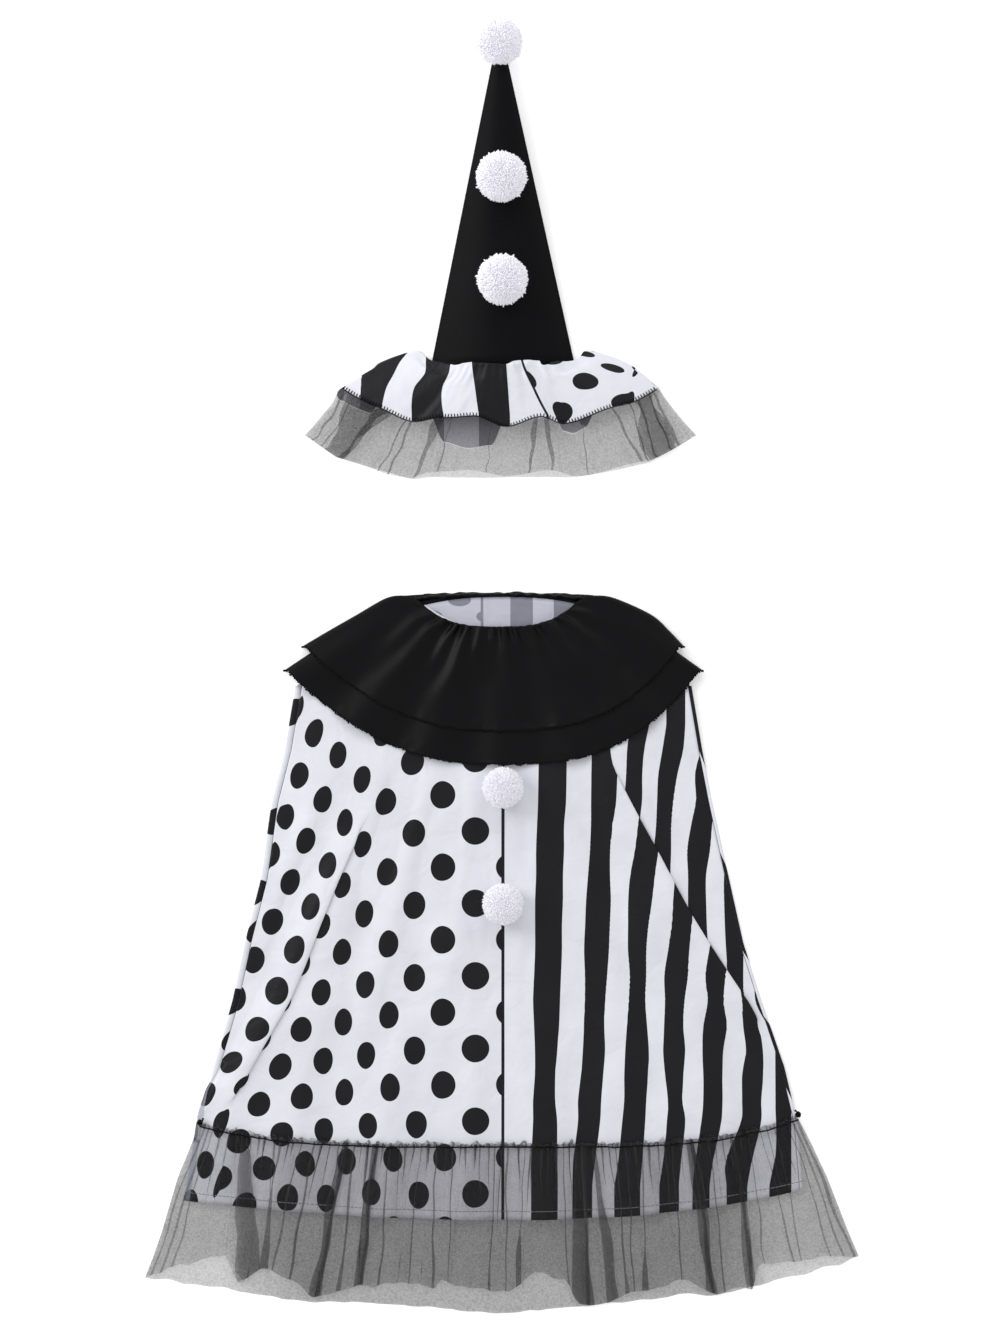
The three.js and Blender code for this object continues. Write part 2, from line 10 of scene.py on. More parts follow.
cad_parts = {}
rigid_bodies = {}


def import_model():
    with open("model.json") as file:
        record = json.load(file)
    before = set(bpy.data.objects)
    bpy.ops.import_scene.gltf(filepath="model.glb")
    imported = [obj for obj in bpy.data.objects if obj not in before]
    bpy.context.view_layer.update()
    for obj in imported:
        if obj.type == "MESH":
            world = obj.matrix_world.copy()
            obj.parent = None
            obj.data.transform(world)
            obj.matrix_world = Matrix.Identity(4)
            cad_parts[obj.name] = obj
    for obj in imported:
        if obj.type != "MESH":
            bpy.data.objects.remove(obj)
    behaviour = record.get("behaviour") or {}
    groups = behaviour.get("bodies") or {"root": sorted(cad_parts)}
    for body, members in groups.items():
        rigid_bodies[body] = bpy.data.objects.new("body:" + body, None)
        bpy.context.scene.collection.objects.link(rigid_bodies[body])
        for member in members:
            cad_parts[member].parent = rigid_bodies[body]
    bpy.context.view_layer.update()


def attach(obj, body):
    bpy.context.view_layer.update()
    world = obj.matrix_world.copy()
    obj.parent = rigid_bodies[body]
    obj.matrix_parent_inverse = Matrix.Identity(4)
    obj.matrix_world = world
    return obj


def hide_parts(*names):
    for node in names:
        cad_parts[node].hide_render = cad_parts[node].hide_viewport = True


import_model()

# Sizes are in millimetres in the tables and become metres where a point is placed.
# A place on the cape or hat is its distance right of the centre line and down from the origin.
MM = 0.001
CAPE_PLACE = (1.76, 72.34)
HAT_PLACE = (1.76, 308.34)

# Thickness of each cloth, and how far layers lie apart
CLOTH = 1.0
SATIN_THICKNESS = 0.7
FELT = 1.5
LAYER = 1.5
LOOSE_LAYER = 2.1
BACK_ON_COLLAR = 3.2
SEAM_GAP = 0.5


def lerp(a, b, share):
    return a + (b - a) * share


def clamp(value, low, high):
    return max(low, min(high, value))


def smooth(value, low, high):
    share = clamp((value - low) / (high - low), 0, 1)
    return share * share * (3 - 2 * share)


def across_share(x, left, right):
    """Where x lies between left, at -1, and right, at 1."""
    return clamp((2 * x - left - right) / (right - left), -1, 1)


def steps(first, last, count):
    return [lerp(first, last, i / count) for i in range(count + 1)]


def read_line(xs, ys, x):
    """y at x on the line through the points, going on at the end slopes."""
    i = clamp(bisect.bisect_left(xs, x), 1, len(xs) - 1)
    return lerp(ys[i - 1], ys[i], (x - xs[i - 1]) / (xs[i] - xs[i - 1]))


def read_soft(xs, ys, x):
    """y at x on a soft curve that is level at each point, held at both ends."""
    i = clamp(bisect.bisect_left(xs, x), 1, len(xs) - 1)
    return lerp(ys[i - 1], ys[i], smooth(x, xs[i - 1], xs[i]))


def read_rows(rows, down):
    """The values of a table of (down, values...) at a down, held at both ends."""
    if down <= rows[0][0]:
        return rows[0][1:]
    for above, below in zip(rows, rows[1:]):
        if down <= below[0]:
            share = (down - above[0]) / (below[0] - above[0])
            return [lerp(a, b, share) for a, b in zip(above[1:], below[1:])]
    return rows[-1][1:]


def read_curve(rows, down):
    """The same on soft curves through the rows."""
    i = clamp(bisect.bisect_left([row[0] for row in rows], down), 1, len(rows) - 1)
    before, after = rows[max(i - 2, 0)], rows[min(i + 1, len(rows) - 1)]
    above, below = rows[i - 1], rows[i]
    span = below[0] - above[0]
    t = clamp((down - above[0]) / span, 0, 1)
    values = []
    for p0, p1, p2, p3 in zip(before[1:], above[1:], below[1:], after[1:]):
        start = (p2 - p0) * span / (below[0] - before[0])
        end = (p3 - p1) * span / (after[0] - above[0])
        bend = t * (2 * (p1 - p2) + start + end)
        values.append(p1 + t * (start + t * (3 * (p2 - p1) - 2 * start - end + bend)))
    return values


def place(origin, x, down, z):
    """A place on the cape or hat as a point in metres."""
    return Vector(((origin[0] + x) * MM, (origin[1] - down) * MM, z * MM))


# Camera and light. The camera hangs over the middle of the photo's frame, where a 100 mm lens on a
# 36 mm high sensor sees 1.333 m of the table.
camera_data = bpy.data.cameras.new("overhead_camera")
camera_data.lens = 100
camera_data.sensor_fit = "VERTICAL"
camera_data.sensor_height = 36
camera = bpy.data.objects.new("overhead_camera", camera_data)
camera.location = (-0.00124, 0.00284, 3.703)
bpy.context.collection.objects.link(camera)
bpy.context.scene.camera = camera
bpy.context.scene.view_settings.view_transform = "Standard"

world = bpy.data.worlds.new("studio_white")
bpy.context.scene.world = world
world.use_nodes = True
background = world.node_tree.nodes["Background"]
background.inputs["Color"].default_value = (1, 1, 1, 1)
background.inputs["Strength"].default_value = 0.73


def softbox(name, size, at, watts):
    """A rectangular light that looks at the origin."""
    light = bpy.data.lights.new(name, "AREA")
    light.shape = "RECTANGLE"
    light.size, light.size_y = size
    light.energy = watts
    lamp = bpy.data.objects.new(name, light)
    lamp.location = at
    lamp.rotation_euler = (-Vector(at)).to_track_quat("-Z", "Y").to_euler()
    bpy.context.collection.objects.link(lamp)


softbox("left_softbox", (1.6, 2.2), (-2.3, 1.2, 1.7), 48)
softbox("top_softbox", (2.4, 1.2), (0.6, 2.6, 2.2), 24)


# Materials
def paint(code):
    """An sRGB hex colour as linear RGBA."""
    parts = [int(code[i : i + 2], 16) / 255 for i in (1, 3, 5)]
    return (*[p / 12.92 if p <= 0.04045 else ((p + 0.055) / 1.055) ** 2.4 for p in parts], 1)


def feed(node, inputs):
    """Gives a node its inputs, by name or in order. Each is a value, an output socket, or a node whose
    first output is meant."""
    for socket, source in inputs.items() if isinstance(inputs, dict) else enumerate(inputs):
        if isinstance(source, bpy.types.Node):
            source = source.outputs[0]
        if isinstance(source, bpy.types.NodeSocket):
            node.id_data.links.new(source, node.inputs[socket])
        else:
            node.inputs[socket].default_value = source


def add(tree, kind, inputs=(), **settings):
    """Adds a node with its settings and inputs. A colour mix has its two colours at inputs 6 and 7."""
    node = tree.nodes.new(kind)
    for setting, value in settings.items():
        setattr(node, setting, value)
    feed(node, inputs)
    return node


def finish(name, **values):
    """A new material, its node tree and its Principled shader with these constants."""
    material = bpy.data.materials.new(name)
    material.use_nodes = True
    shader = material.node_tree.nodes["Principled BSDF"]
    feed(shader, {socket.replace("_", " "): value for socket, value in values.items()})
    return material, material.node_tree, shader


# Printed polyester satin, woven smooth and heat-printed: a soft sheen, a slight grain of its threads,
# and black that is a little paler than the black cloth round it. The print has round dots in columns
# left of a black line and upright stripes right of it, on cloth coordinates in metres.
DOT_COLUMN, DOT_ROW, DOT_RADIUS = 68 * MM, 72.4 * MM, 13.8 * MM
DOT_FIRST = (7 * MM, 270 * MM)
STRIPE_FIRST, STRIPE_WIDTH, STRIPE_REPEAT = 34 * MM, 27 * MM, 52 * MM
LINE_HALF = 1.6 * MM
# The hem's line of grey stitches: how far it lies from the edge, and each stitch's half width, repeat
# and length
STITCH_IN, STITCH_HALF, STITCH_REPEAT, STITCH_LENGTH = 8.5 * MM, 0.4 * MM, 4 * MM, 3 * MM


def print_mask(tree, cloth):
    """1 on the printed black and 0 on the white between."""
    u = add(tree, "ShaderNodeSeparateXYZ", [cloth])
    # The side columns lie slanted on the cloth, which shows their dots a third wider
    wide = add(tree, "ShaderNodeMapRange", {
        "Value": u, "From Min": -190 * MM, "From Max": -290 * MM, "To Min": 1.0, "To Max": 1.33})
    stretch = add(tree, "ShaderNodeCombineXYZ", [wide, 1, 1])
    cell = Vector((DOT_COLUMN, DOT_ROW, 2))
    distances = []
    for shift in (0, 0.5):
        first = Vector((*DOT_FIRST, 0)) - Vector((DOT_COLUMN, DOT_ROW, 0)) * shift
        moved = add(tree, "ShaderNodeVectorMath", [cloth, first], operation="SUBTRACT")
        near = add(tree, "ShaderNodeVectorMath", [moved, cell / 2, cell / -2], operation="WRAP")
        narrowed = add(tree, "ShaderNodeVectorMath", [near, stretch], operation="DIVIDE")
        length = add(tree, "ShaderNodeVectorMath", [narrowed], operation="LENGTH")
        distances.append(length.outputs["Value"])
    nearest = add(tree, "ShaderNodeMath", distances, operation="MINIMUM")
    dots = add(tree, "ShaderNodeMath", [nearest, DOT_RADIUS], operation="LESS_THAN")
    left = add(tree, "ShaderNodeMath", [u, 0], operation="LESS_THAN")
    turn = add(tree, "ShaderNodeMath", [u, STRIPE_FIRST + STRIPE_REPEAT, STRIPE_FIRST], operation="WRAP")
    stripes = add(tree, "ShaderNodeMath", [turn, STRIPE_FIRST + STRIPE_WIDTH], operation="LESS_THAN")
    right = add(tree, "ShaderNodeMath", [u, STRIPE_FIRST / 2], operation="GREATER_THAN")
    mask = add(tree, "ShaderNodeMath", [u, 0, LINE_HALF], operation="COMPARE")
    for marks, side in ((dots, left), (stripes, right)):
        shown = add(tree, "ShaderNodeMath", [marks, side], operation="MULTIPLY")
        mask = add(tree, "ShaderNodeMath", [mask, shown], operation="MAXIMUM")
    return mask


def printed_satin(name, whites, blacks, hem_stitch=False):
    """The print in two close whites and two close blacks, paler on the cloth's reverse."""
    material, tree, shader = finish(name, Roughness=0.46, Sheen_Weight=0.06, Sheen_Roughness=0.4,
                                    Specular_IOR_Level=0.2)
    cloth = add(tree, "ShaderNodeUVMap", uv_map="cloth")
    here = add(tree, "ShaderNodeTexCoord").outputs["Object"]
    # Cloudy shade over 45 mm, as loose satin has between its folds
    cloud = add(tree, "ShaderNodeTexNoise", {
        "Vector": here, "Scale": 1 / (45 * MM), "Detail": 3.0, "Roughness": 0.55})
    colours = {"Factor": print_mask(tree, cloth)}
    for socket, (colour, shade) in ((6, whites), (7, blacks)):
        mix = add(tree, "ShaderNodeMix", {"Factor": cloud, 6: paint(colour), 7: paint(shade)},
                  data_type="RGBA")
        colours[socket] = mix.outputs[2]
    printed = add(tree, "ShaderNodeMix", colours, data_type="RGBA")
    if hem_stitch:
        edge = add(tree, "ShaderNodeSeparateXYZ", [add(tree, "ShaderNodeUVMap", uv_map="edge")])
        seam = add(tree, "ShaderNodeMath", [edge.outputs["Y"], STITCH_IN, STITCH_HALF], operation="COMPARE")
        turn = add(tree, "ShaderNodeMath", [edge, STITCH_REPEAT], operation="MODULO")
        dash = add(tree, "ShaderNodeMath", [turn, STITCH_LENGTH], operation="LESS_THAN")
        sewn = add(tree, "ShaderNodeMath", [seam, dash], operation="MULTIPLY")
        printed = add(tree, "ShaderNodeMix", {"Factor": sewn, 6: printed.outputs[2], 7: paint("#8f8f96")},
                      data_type="RGBA")
    # Threads 0.15 mm apart are drawn as a 0.9 mm grain, which is what shows, over a 22 mm crumple
    grain = add(tree, "ShaderNodeTexNoise", {"Vector": cloth, "Scale": 1 / (0.9 * MM), "Detail": 1.0})
    crumple = add(tree, "ShaderNodeTexNoise", {
        "Vector": here, "Scale": 1 / (22 * MM), "Detail": 2.0, "Distortion": 0.6})
    fine = add(tree, "ShaderNodeBump", {"Height": grain, "Strength": 0.12, "Distance": 0.3 * MM})
    soft = add(tree, "ShaderNodeBump", {
        "Height": crumple, "Normal": fine, "Strength": 0.35, "Distance": 4 * MM})
    feed(shader, {"Base Color": printed.outputs[2], "Normal": soft})
    return material


satin_face = printed_satin("printed_satin_woven", ("#e6e6ed", "#d2d2dc"), ("#0e0d11", "#17161a"), True)
# The reverse again, with its whites darkened into painted shade, for the inside of the hat's ruffle. Its
# hidden half shows below the front half under the net. Its pale print is the reverse's own.
satin_shaded = printed_satin("printed_satin_reverse_shaded", ("#bcbcc4", "#b0b0b9"), ("#74747c", "#7c7c84"))
satin_reverse = printed_satin("printed_satin_reverse", ("#c2c2ce", "#b4b4c1"), ("#7b7b88", "#888895"))


def mottled(name, colours, cloud, grain=None, **values):
    """A material of two close colours. cloud is the width of their clouds in millimetres and its detail,
    and grain is the width of the raised grain, the strength of its bump and its height in millimetres."""
    material, tree, shader = finish(name, **values)
    here = add(tree, "ShaderNodeTexCoord").outputs["Object"]
    clouds = add(tree, "ShaderNodeTexNoise", {
        "Vector": here, "Scale": 1 / (cloud[0] * MM), "Detail": cloud[1]})
    mix = add(tree, "ShaderNodeMix", {"Factor": clouds, 6: paint(colours[0]), 7: paint(colours[1])},
              data_type="RGBA")
    feed(shader, {"Base Color": mix.outputs[2]})
    if grain:
        width, strength, height = grain
        grains = add(tree, "ShaderNodeTexNoise", {"Vector": here, "Scale": 1 / (width * MM), "Detail": 2.0})
        bump = add(tree, "ShaderNodeBump", {"Height": grains, "Strength": strength, "Distance": height * MM})
        feed(shader, {"Normal": bump})
    return material


BLACK_CLOUD = (30, 4.0)
# Black polyester crepe satin, piece-dyed: deep black, a quiet sheen on the tops of its folds.
collar_satin = mottled("black_satin_woven", ("#040406", "#0a0a0d"), BLACK_CLOUD, (1.0, 0.2, 0.6),
                       Roughness=0.4, Sheen_Weight=0.02, Sheen_Roughness=0.35, Specular_IOR_Level=0.12)
# Black polyester felt, needle-punched: matt, with fibres lying every way.
cone_felt = mottled("black_felt_pressed", ("#030305", "#08080b"), BLACK_CLOUD, (1.4, 0.6, 0.6),
                    Roughness=0.55, Sheen_Weight=0.02, Sheen_Roughness=0.35, Specular_IOR_Level=0.08)
# Black polyester sewing thread, twisted: matt and darker than the cloth.
sewing_thread = mottled("black_thread_twisted", ("#050506", "#0c0c0e"), BLACK_CLOUD, (0.6, 0.4, 0.6),
                        Roughness=0.7, Sheen_Weight=0.03, Sheen_Roughness=0.35, Specular_IOR_Level=0.1)
# White acrylic yarn, cut and fluffed: bright and matt. Its grey is painted shade, mottled through it in 3 mm
# clouds, standing for the shade deep between the ends. It also glows faintly, a painted light that brightens
# it all over.
pompom_yarn = mottled("white_yarn_fluffed", ("#f8f7fb", "#d8d7e0"), (3, 2.0), (3, 0.3, 0.4),
                      Roughness=0.95, Sheen_Weight=0.3, Subsurface_Weight=0.2,
                      Subsurface_Radius=(1, 1, 1), Subsurface_Scale=0.002,
                      Emission_Color=paint("#f6f5fb"), Emission_Strength=0.19)
# White backdrop paper, pressed matt: one even white, with no gloss.
paper = mottled("white_paper_matt", ("#fdfdfd", "#fbfbfc"), (250, 2.0), Roughness=0.9,
                Emission_Color=paint("#ffffff"), Emission_Strength=0.25)


def black_tulle(name, see_through, streak, thinner):
    """Black polyester tulle, knitted as a net: see-through, with darker lines where its gathers stand,
    and thinner past 210 mm from the middle, where its gathers lie spread."""
    material, tree, shader = finish(name, Base_Color=paint("#0d0d11"), Roughness=0.75, Sheen_Weight=0.2)
    cloth = add(tree, "ShaderNodeUVMap", uv_map="cloth")
    # Hexagonal holes 1.2 mm wide are drawn as a 1.8 mm mottle, which is what shows
    net = add(tree, "ShaderNodeTexVoronoi", {"Vector": cloth, "Scale": 1 / (1.8 * MM)})
    hole = add(tree, "ShaderNodeMapRange", {
        "Value": net, "From Max": 0.8, "To Min": see_through - 0.07, "To Max": see_through + 0.09})
    # Gathers 9 mm apart and 150 mm long darken the net in lines
    gathers = add(tree, "ShaderNodeMapping", {"Vector": cloth, "Scale": (1 / (9 * MM), 1 / (150 * MM), 1)})
    streaks = add(tree, "ShaderNodeTexNoise", {
        "Vector": gathers, "Scale": 1.0, "Detail": 3.0, "Roughness": 0.7})
    line = add(tree, "ShaderNodeMapRange", {
        "Value": streaks, "From Min": 0.56, "From Max": 0.8, "To Max": streak})
    here = add(tree, "ShaderNodeTexCoord").outputs["Object"]
    away = add(tree, "ShaderNodeMath", [add(tree, "ShaderNodeSeparateXYZ", [here])], operation="ABSOLUTE")
    spread_out = add(tree, "ShaderNodeMapRange", {
        "Value": away, "From Min": 210 * MM, "From Max": 280 * MM, "To Max": thinner})
    cover = add(tree, "ShaderNodeMath", [line, hole], operation="ADD")
    feed(shader, {"Alpha": add(tree, "ShaderNodeMath", [cover, spread_out], operation="SUBTRACT")})
    return material


tulle = black_tulle("black_tulle_knitted", 0.31, 0.12, 0.1)
back_tulle = black_tulle("black_tulle_knitted_back", 0.46, 0.08, 0.14)
hat_tulle = black_tulle("black_tulle_knitted_fine", 0.24, 0.12, 0)

# Floor, just under the lowest cloth
bpy.ops.object.select_all(action="DESELECT")
bpy.ops.mesh.primitive_plane_add(size=8, location=(0, 0, -0.4 * MM))
floor = bpy.context.object
floor.name = "floor"
floor.data.materials.append(paper)


# Finishing of the pieces
def choose(*pieces):
    """Selects these objects alone, with the first one active."""
    bpy.ops.object.select_all(action="DESELECT")
    for piece in pieces:
        piece.select_set(True)
    bpy.context.view_layer.objects.active = pieces[0]


def fix(piece, node=None):
    """Smooths a chosen piece and fixes it to the body, in the place of a CAD node if one is named."""
    bpy.ops.object.shade_smooth()
    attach(piece, "root")
    if node:
        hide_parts(node)
    return piece


def dress(piece, name, material, node=None):
    """Gives a piece that is all of one material its name and its finish."""
    piece.name = name
    piece.data.name = name
    piece.data.materials.clear()
    piece.data.materials.append(material)
    choose(piece)
    return fix(piece, node)


# Cloth
def lay_cloth(name, grid, cloth, materials, node=None, thickness=0, ring=False, edge=None):
    """A sheet or ring through a grid of points, with cloth coordinates in millimetres as its UV map.
    The first material faces up and the second, if any, is on the other side."""
    bpy.ops.object.select_all(action="DESELECT")
    columns, rows = len(grid[0]), len(grid)
    bpy.ops.mesh.primitive_grid_add(x_subdivisions=columns - 1, y_subdivisions=rows - 1, size=1)
    piece = bpy.context.object
    piece.name = name
    mesh = piece.data
    mesh.name = name
    mesh.vertices.foreach_set("co", [c for row in grid for point in row for c in point])
    maps = {"cloth": cloth, "edge": edge} if edge else {"cloth": cloth}
    for layer in list(mesh.uv_layers):
        mesh.uv_layers.remove(layer)
    corners = [loop.vertex_index for loop in mesh.loops]
    for map_name, values in maps.items():
        layer = mesh.uv_layers.new(name=map_name)
        line = [value for row in values for value in row]
        layer.uv.foreach_set("vector", [c * MM for i in corners for c in line[i]])
    mesh.flip_normals()
    mesh.update()
    for material in materials:
        mesh.materials.append(material)
    if ring:
        bpy.ops.object.mode_set(mode="EDIT")
        bpy.ops.mesh.select_all(action="SELECT")
        bpy.ops.mesh.remove_doubles(threshold=0.02 * MM)
        bpy.ops.object.mode_set(mode="OBJECT")
    if thickness:
        wall = piece.modifiers.new("wall", "SOLIDIFY")
        wall.thickness = thickness * MM
        wall.offset = 0
        wall.use_even_offset = False
        wall.material_offset = len(materials) - 1
        bpy.ops.object.modifier_apply(modifier=wall.name)
    return fix(piece, node)


def ripple(x, down, size, seed):
    """An uneven rise and fall between about -1 and 1, so many millimetres long."""
    return noise.noise(Vector((x / size, down / size, seed)))


def waved(count, u):
    """Even waves from 0 to 1 high, as many as the count from u = -1 to 1, with a low in the middle."""
    return (1 - math.cos(math.pi * count * u)) / 2


# Where a stitched line's coordinate starts, so that it is above zero all along the edge
EDGE_START = 1000


# Cape body. BODY_SIDES gives down and half the width on the left and on the right.
NECK_HALF, NECK_FRONT_DOWN, NECK_SIDE_DOWN = 77, 33, 8
SHOULDER_DOWN, SHOULDER_CURVE = 89, 1.5
HEM = {"left": 603, "centre": 622, "right": 592, "curve": 2.2}
SIDE_SEAM_INSET = {"left": 6, "right": 3}
BODY_SIDES = [
    (89, 207, 188), (154, 218, 199), (205, 231, 209), (283, 242, 226), (346, 258, 240),
    (403, 270, 258), (470, 289, 281), (525, 303, 294), (622, 323, 302),
]
# The drape pleats: down, distance of the fold from the centre line, tuck and rise
PLEAT_RIGHT = [
    (20, 96, 2, 0), (150, 105, 2, 0), (180, 117, 2, 1), (212, 136, 9, 1), (241, 154, 18, 1),
    (305, 190, 20, 1), (361, 225, 14, 1), (395, 246, 6, 1), (412, 254, 2, 1), (430, 258, 2, 0),
    (622, 280, 2, 0),
]
PLEAT_LEFT = [
    (20, 96, 2, 0), (205, 132, 2, 0), (240, 148, 2, 1), (273, 164, 8, 1), (317, 182, 13, 1),
    (360, 198, 11, 1), (395, 213, 8, 1), (440, 238, 5, 1), (488, 263, 4, 1), (512, 274, 2, 0),
    (622, 290, 2, 0),
]
# Soft waves of the body towards its hem, and small folds that fan out from the neck
BODY_WAVES = {"count": 7, "height": 3.6, "from": 230, "to": 560}
DRAPE = {"fan_folds": 17, "fan_height": 4.2, "soft_width": 46, "soft_height": 2.8, "from": 120, "to": 230}
# What the body lies on and what lies on it: the lower tier's back hem and the tulle's seam
COLLAR_LOWER_BACK_HEM = {"left": -219, "right": 200, "side": 74, "back": 156}
COLLAR_ROUND = {"left": 2.2, "right": 3}
TULLE_SEAM = {"left": 527, "centre": 549, "right": 519, "curve": 4}


def across_curve(edge, q):
    """How far down an edge lies at a share across, from -1 to 1."""
    ends = lerp(edge["left"], edge["right"], (q + 1) / 2)
    return ends + (edge["centre"] - ends) * (1 - abs(q) ** edge["curve"])


def side_name(x):
    return "left" if x < 0 else "right"


def read_side(table, side, down):
    """Half the width on one side, from a table of (down, left, right)."""
    left, right = read_rows(table, down)
    return left if side == "left" else right


def body_side(side, down):
    return read_side(BODY_SIDES, side, down)


def top_edge(x, neck_middle):
    """How far down the neck and shoulder edge lies."""
    share = abs(x) / NECK_HALF
    if share <= 1:
        return lerp(neck_middle, NECK_SIDE_DOWN, share**2.4)
    shoulder_half = body_side(side_name(x), SHOULDER_DOWN)
    along = (abs(x) - NECK_HALF) / (shoulder_half - NECK_HALF)
    return lerp(NECK_SIDE_DOWN, SHOULDER_DOWN, along**SHOULDER_CURVE)


def body_down(q, v, neck_middle):
    """How far down the body's cloth lies, at a share across and a share v from its top to its hem."""
    top = top_edge(q * body_side(side_name(q), SHOULDER_DOWN), neck_middle)
    return lerp(top, across_curve(HEM, q), v)


def row_down(x, v, neck_middle):
    """The same at a distance across, found in a few rounds because the sides slant."""
    down = lerp(SHOULDER_DOWN, HEM["centre"], v)
    for _ in range(4):
        q = clamp(x / body_side(side_name(x), down), -1, 1)
        down = body_down(q, v, neck_middle)
    return down


def collar_arc(side, middle, u, blunt=0):
    """How far down a round edge lies, from its sides to its middle."""
    power = lerp(COLLAR_ROUND["left"], 3, blunt) if u < 0 else COLLAR_ROUND["right"]
    return side + (middle - side) * (1 - abs(u) ** power)


def back_z(x, down):
    """Height of the back cloth, which lies over the collar's back and over the back strip of tulle."""
    hem = COLLAR_LOWER_BACK_HEM
    u = across_share(x, hem["left"], hem["right"])
    reach = collar_arc(hem["side"], hem["back"], u)
    over_collar = BACK_ON_COLLAR * (1 - smooth(down, reach + 20, reach + 124))
    over_tulle = LAYER * smooth(down, TULLE_SEAM["right"] - 84, TULLE_SEAM["right"] - 6)
    return CLOTH / 2 + over_collar + over_tulle


def body_wave(x, down):
    side = body_side(side_name(x), down) - 8
    share = clamp(x / side, -1, 1)
    fade = smooth(down, BODY_WAVES["from"], BODY_WAVES["to"]) * smooth(1 - abs(share), 0, 0.1)
    return BODY_WAVES["height"] * fade * waved(BODY_WAVES["count"], share)


def drape(x, down):
    """Small soft folds of the front, fanning out from the neck, in millimetres above the layer."""
    angle = math.atan2(x, down + 190)
    fan = noise.noise(Vector((angle * DRAPE["fan_folds"], down / 260, 3.1))) * DRAPE["fan_height"]
    soft = ripple(x, down * 0.6, DRAPE["soft_width"], 7.7) * DRAPE["soft_height"]
    side = body_side(side_name(x), down)
    fade = smooth(down, DRAPE["from"], DRAPE["to"]) * smooth(side - abs(x), 4, 40) * smooth(abs(x), 2, 30)
    return max(-1.0, (fan + soft) * fade)


def front_z(x, down):
    """Height of the front cloth without its small folds."""
    return back_z(x, down) + LOOSE_LAYER + body_wave(x, down)


# Where the print lies on the front, read off the cloth: at each down, the distance from the centre
# line at which each printed place comes. STRIPE_PLACES are the edges of the black stripes.
STRIPE_PLACES = [0, 34, 61, 86, 113, 138, 165, 190, 217, 242, 269, 294, 321, 346, 373, 398]
STRIPES_INNER = [
    (128, 0, 36, 64, 89, 115, 140, 166, 190, 216, 240, 266, 290, 316, 340, 366, 390),
    (203, 0, 35, 63, 88, 113, 137, 162, 186, 212, 236, 262, 286, 312, 336, 362, 386),
    (228, 0, 34, 61, 88, 109, 135, 158, 182, 208, 232, 258, 282, 308, 332, 358, 382),
    (253, 0, 33, 61, 87, 107, 132, 155, 179, 203, 226, 250, 273, 297, 320, 344, 367),
    (278, 0, 33, 60, 85, 107, 127, 152, 172, 196, 217, 241, 262, 286, 307, 331, 352),
    (303, 0, 32, 60, 83, 108, 125, 149, 170, 191, 212, 233, 254, 275, 296, 317, 338),
    (328, 0, 32, 59, 82, 107, 125, 145, 169, 188, 210, 229, 250, 270, 290, 310, 330),
    (353, 0, 32, 59, 81, 106, 125, 143, 165, 186, 206, 226, 245, 264, 283, 302, 321),
    (378, 0, 31, 58, 82, 104, 127, 143, 161, 185, 202, 223, 235, 252, 270, 288, 306),
    (403, 0, 30, 57, 82, 102, 126, 142, 162, 181, 205, 220, 239, 253, 270, 286, 302),
    (428, 0, 31, 56, 81, 101, 124, 144, 161, 180, 200, 224, 240, 255, 272, 288, 304),
    (453, 0, 32, 54, 80, 102, 122, 146, 160, 182, 199, 220, 243, 261, 271, 288, 304),
    (478, 0, 32, 52, 78, 100, 121, 145, 162, 180, 200, 219, 239, 260, 277, 292, 306),
    (503, 0, 30, 52, 75, 98, 121, 143, 165, 179, 200, 219, 239, 258, 278, 296, 308),
    (523, 0, 30, 54, 75, 97, 119, 142, 164, 182, 198, 218, 238, 258, 279, 298, 310),
    (563, 0, 28, 54, 70, 92, 115, 139, 160, 178, 192, 210, 222, 249, 271, 290, 306),
    (588, 0, 28, 55, 69, 89, 111, 137, 156, 176, 189, 206, 223, 244, 266, 289, 299),
]
STRIPES_OUTER = [
    (128, 0, 34, 61, 84, 108, 127, 146, 163, 182, 200, 218, 236, 254, 272, 290, 308),
    (153, 0, 34, 61, 84, 106, 124, 141, 159, 180, 197, 215, 233, 250, 268, 286, 304),
    (178, 0, 34, 60, 83, 106, 123, 139, 155, 174, 192, 206, 224, 240, 258, 276, 294),
    (203, 0, 33, 59, 82, 105, 121, 139, 154, 170, 193, 211, 226, 243, 260, 278, 296),
    (228, 0, 32, 57, 80, 101, 118, 136, 153, 168, 188, 209, 226, 243, 260, 278, 296),
    (253, 0, 30, 54, 76, 97, 115, 133, 151, 168, 184, 207, 224, 241, 258, 276, 294),
    (278, 0, 30, 54, 76, 95, 113, 131, 149, 167, 185, 203, 221, 238, 256, 274, 292),
    (303, 0, 30, 54, 76, 95, 113, 131, 149, 167, 185, 203, 221, 236, 254, 272, 290),
    (353, 0, 30, 54, 76, 97, 115, 133, 151, 169, 187, 205, 223, 240, 256, 274, 292),
    (403, 0, 30, 56, 79, 102, 120, 138, 156, 174, 192, 210, 228, 242, 252, 270, 288),
    (440, 0, 31, 56, 80, 101, 123, 145, 161, 181, 200, 222, 242, 257, 272, 288, 304),
]
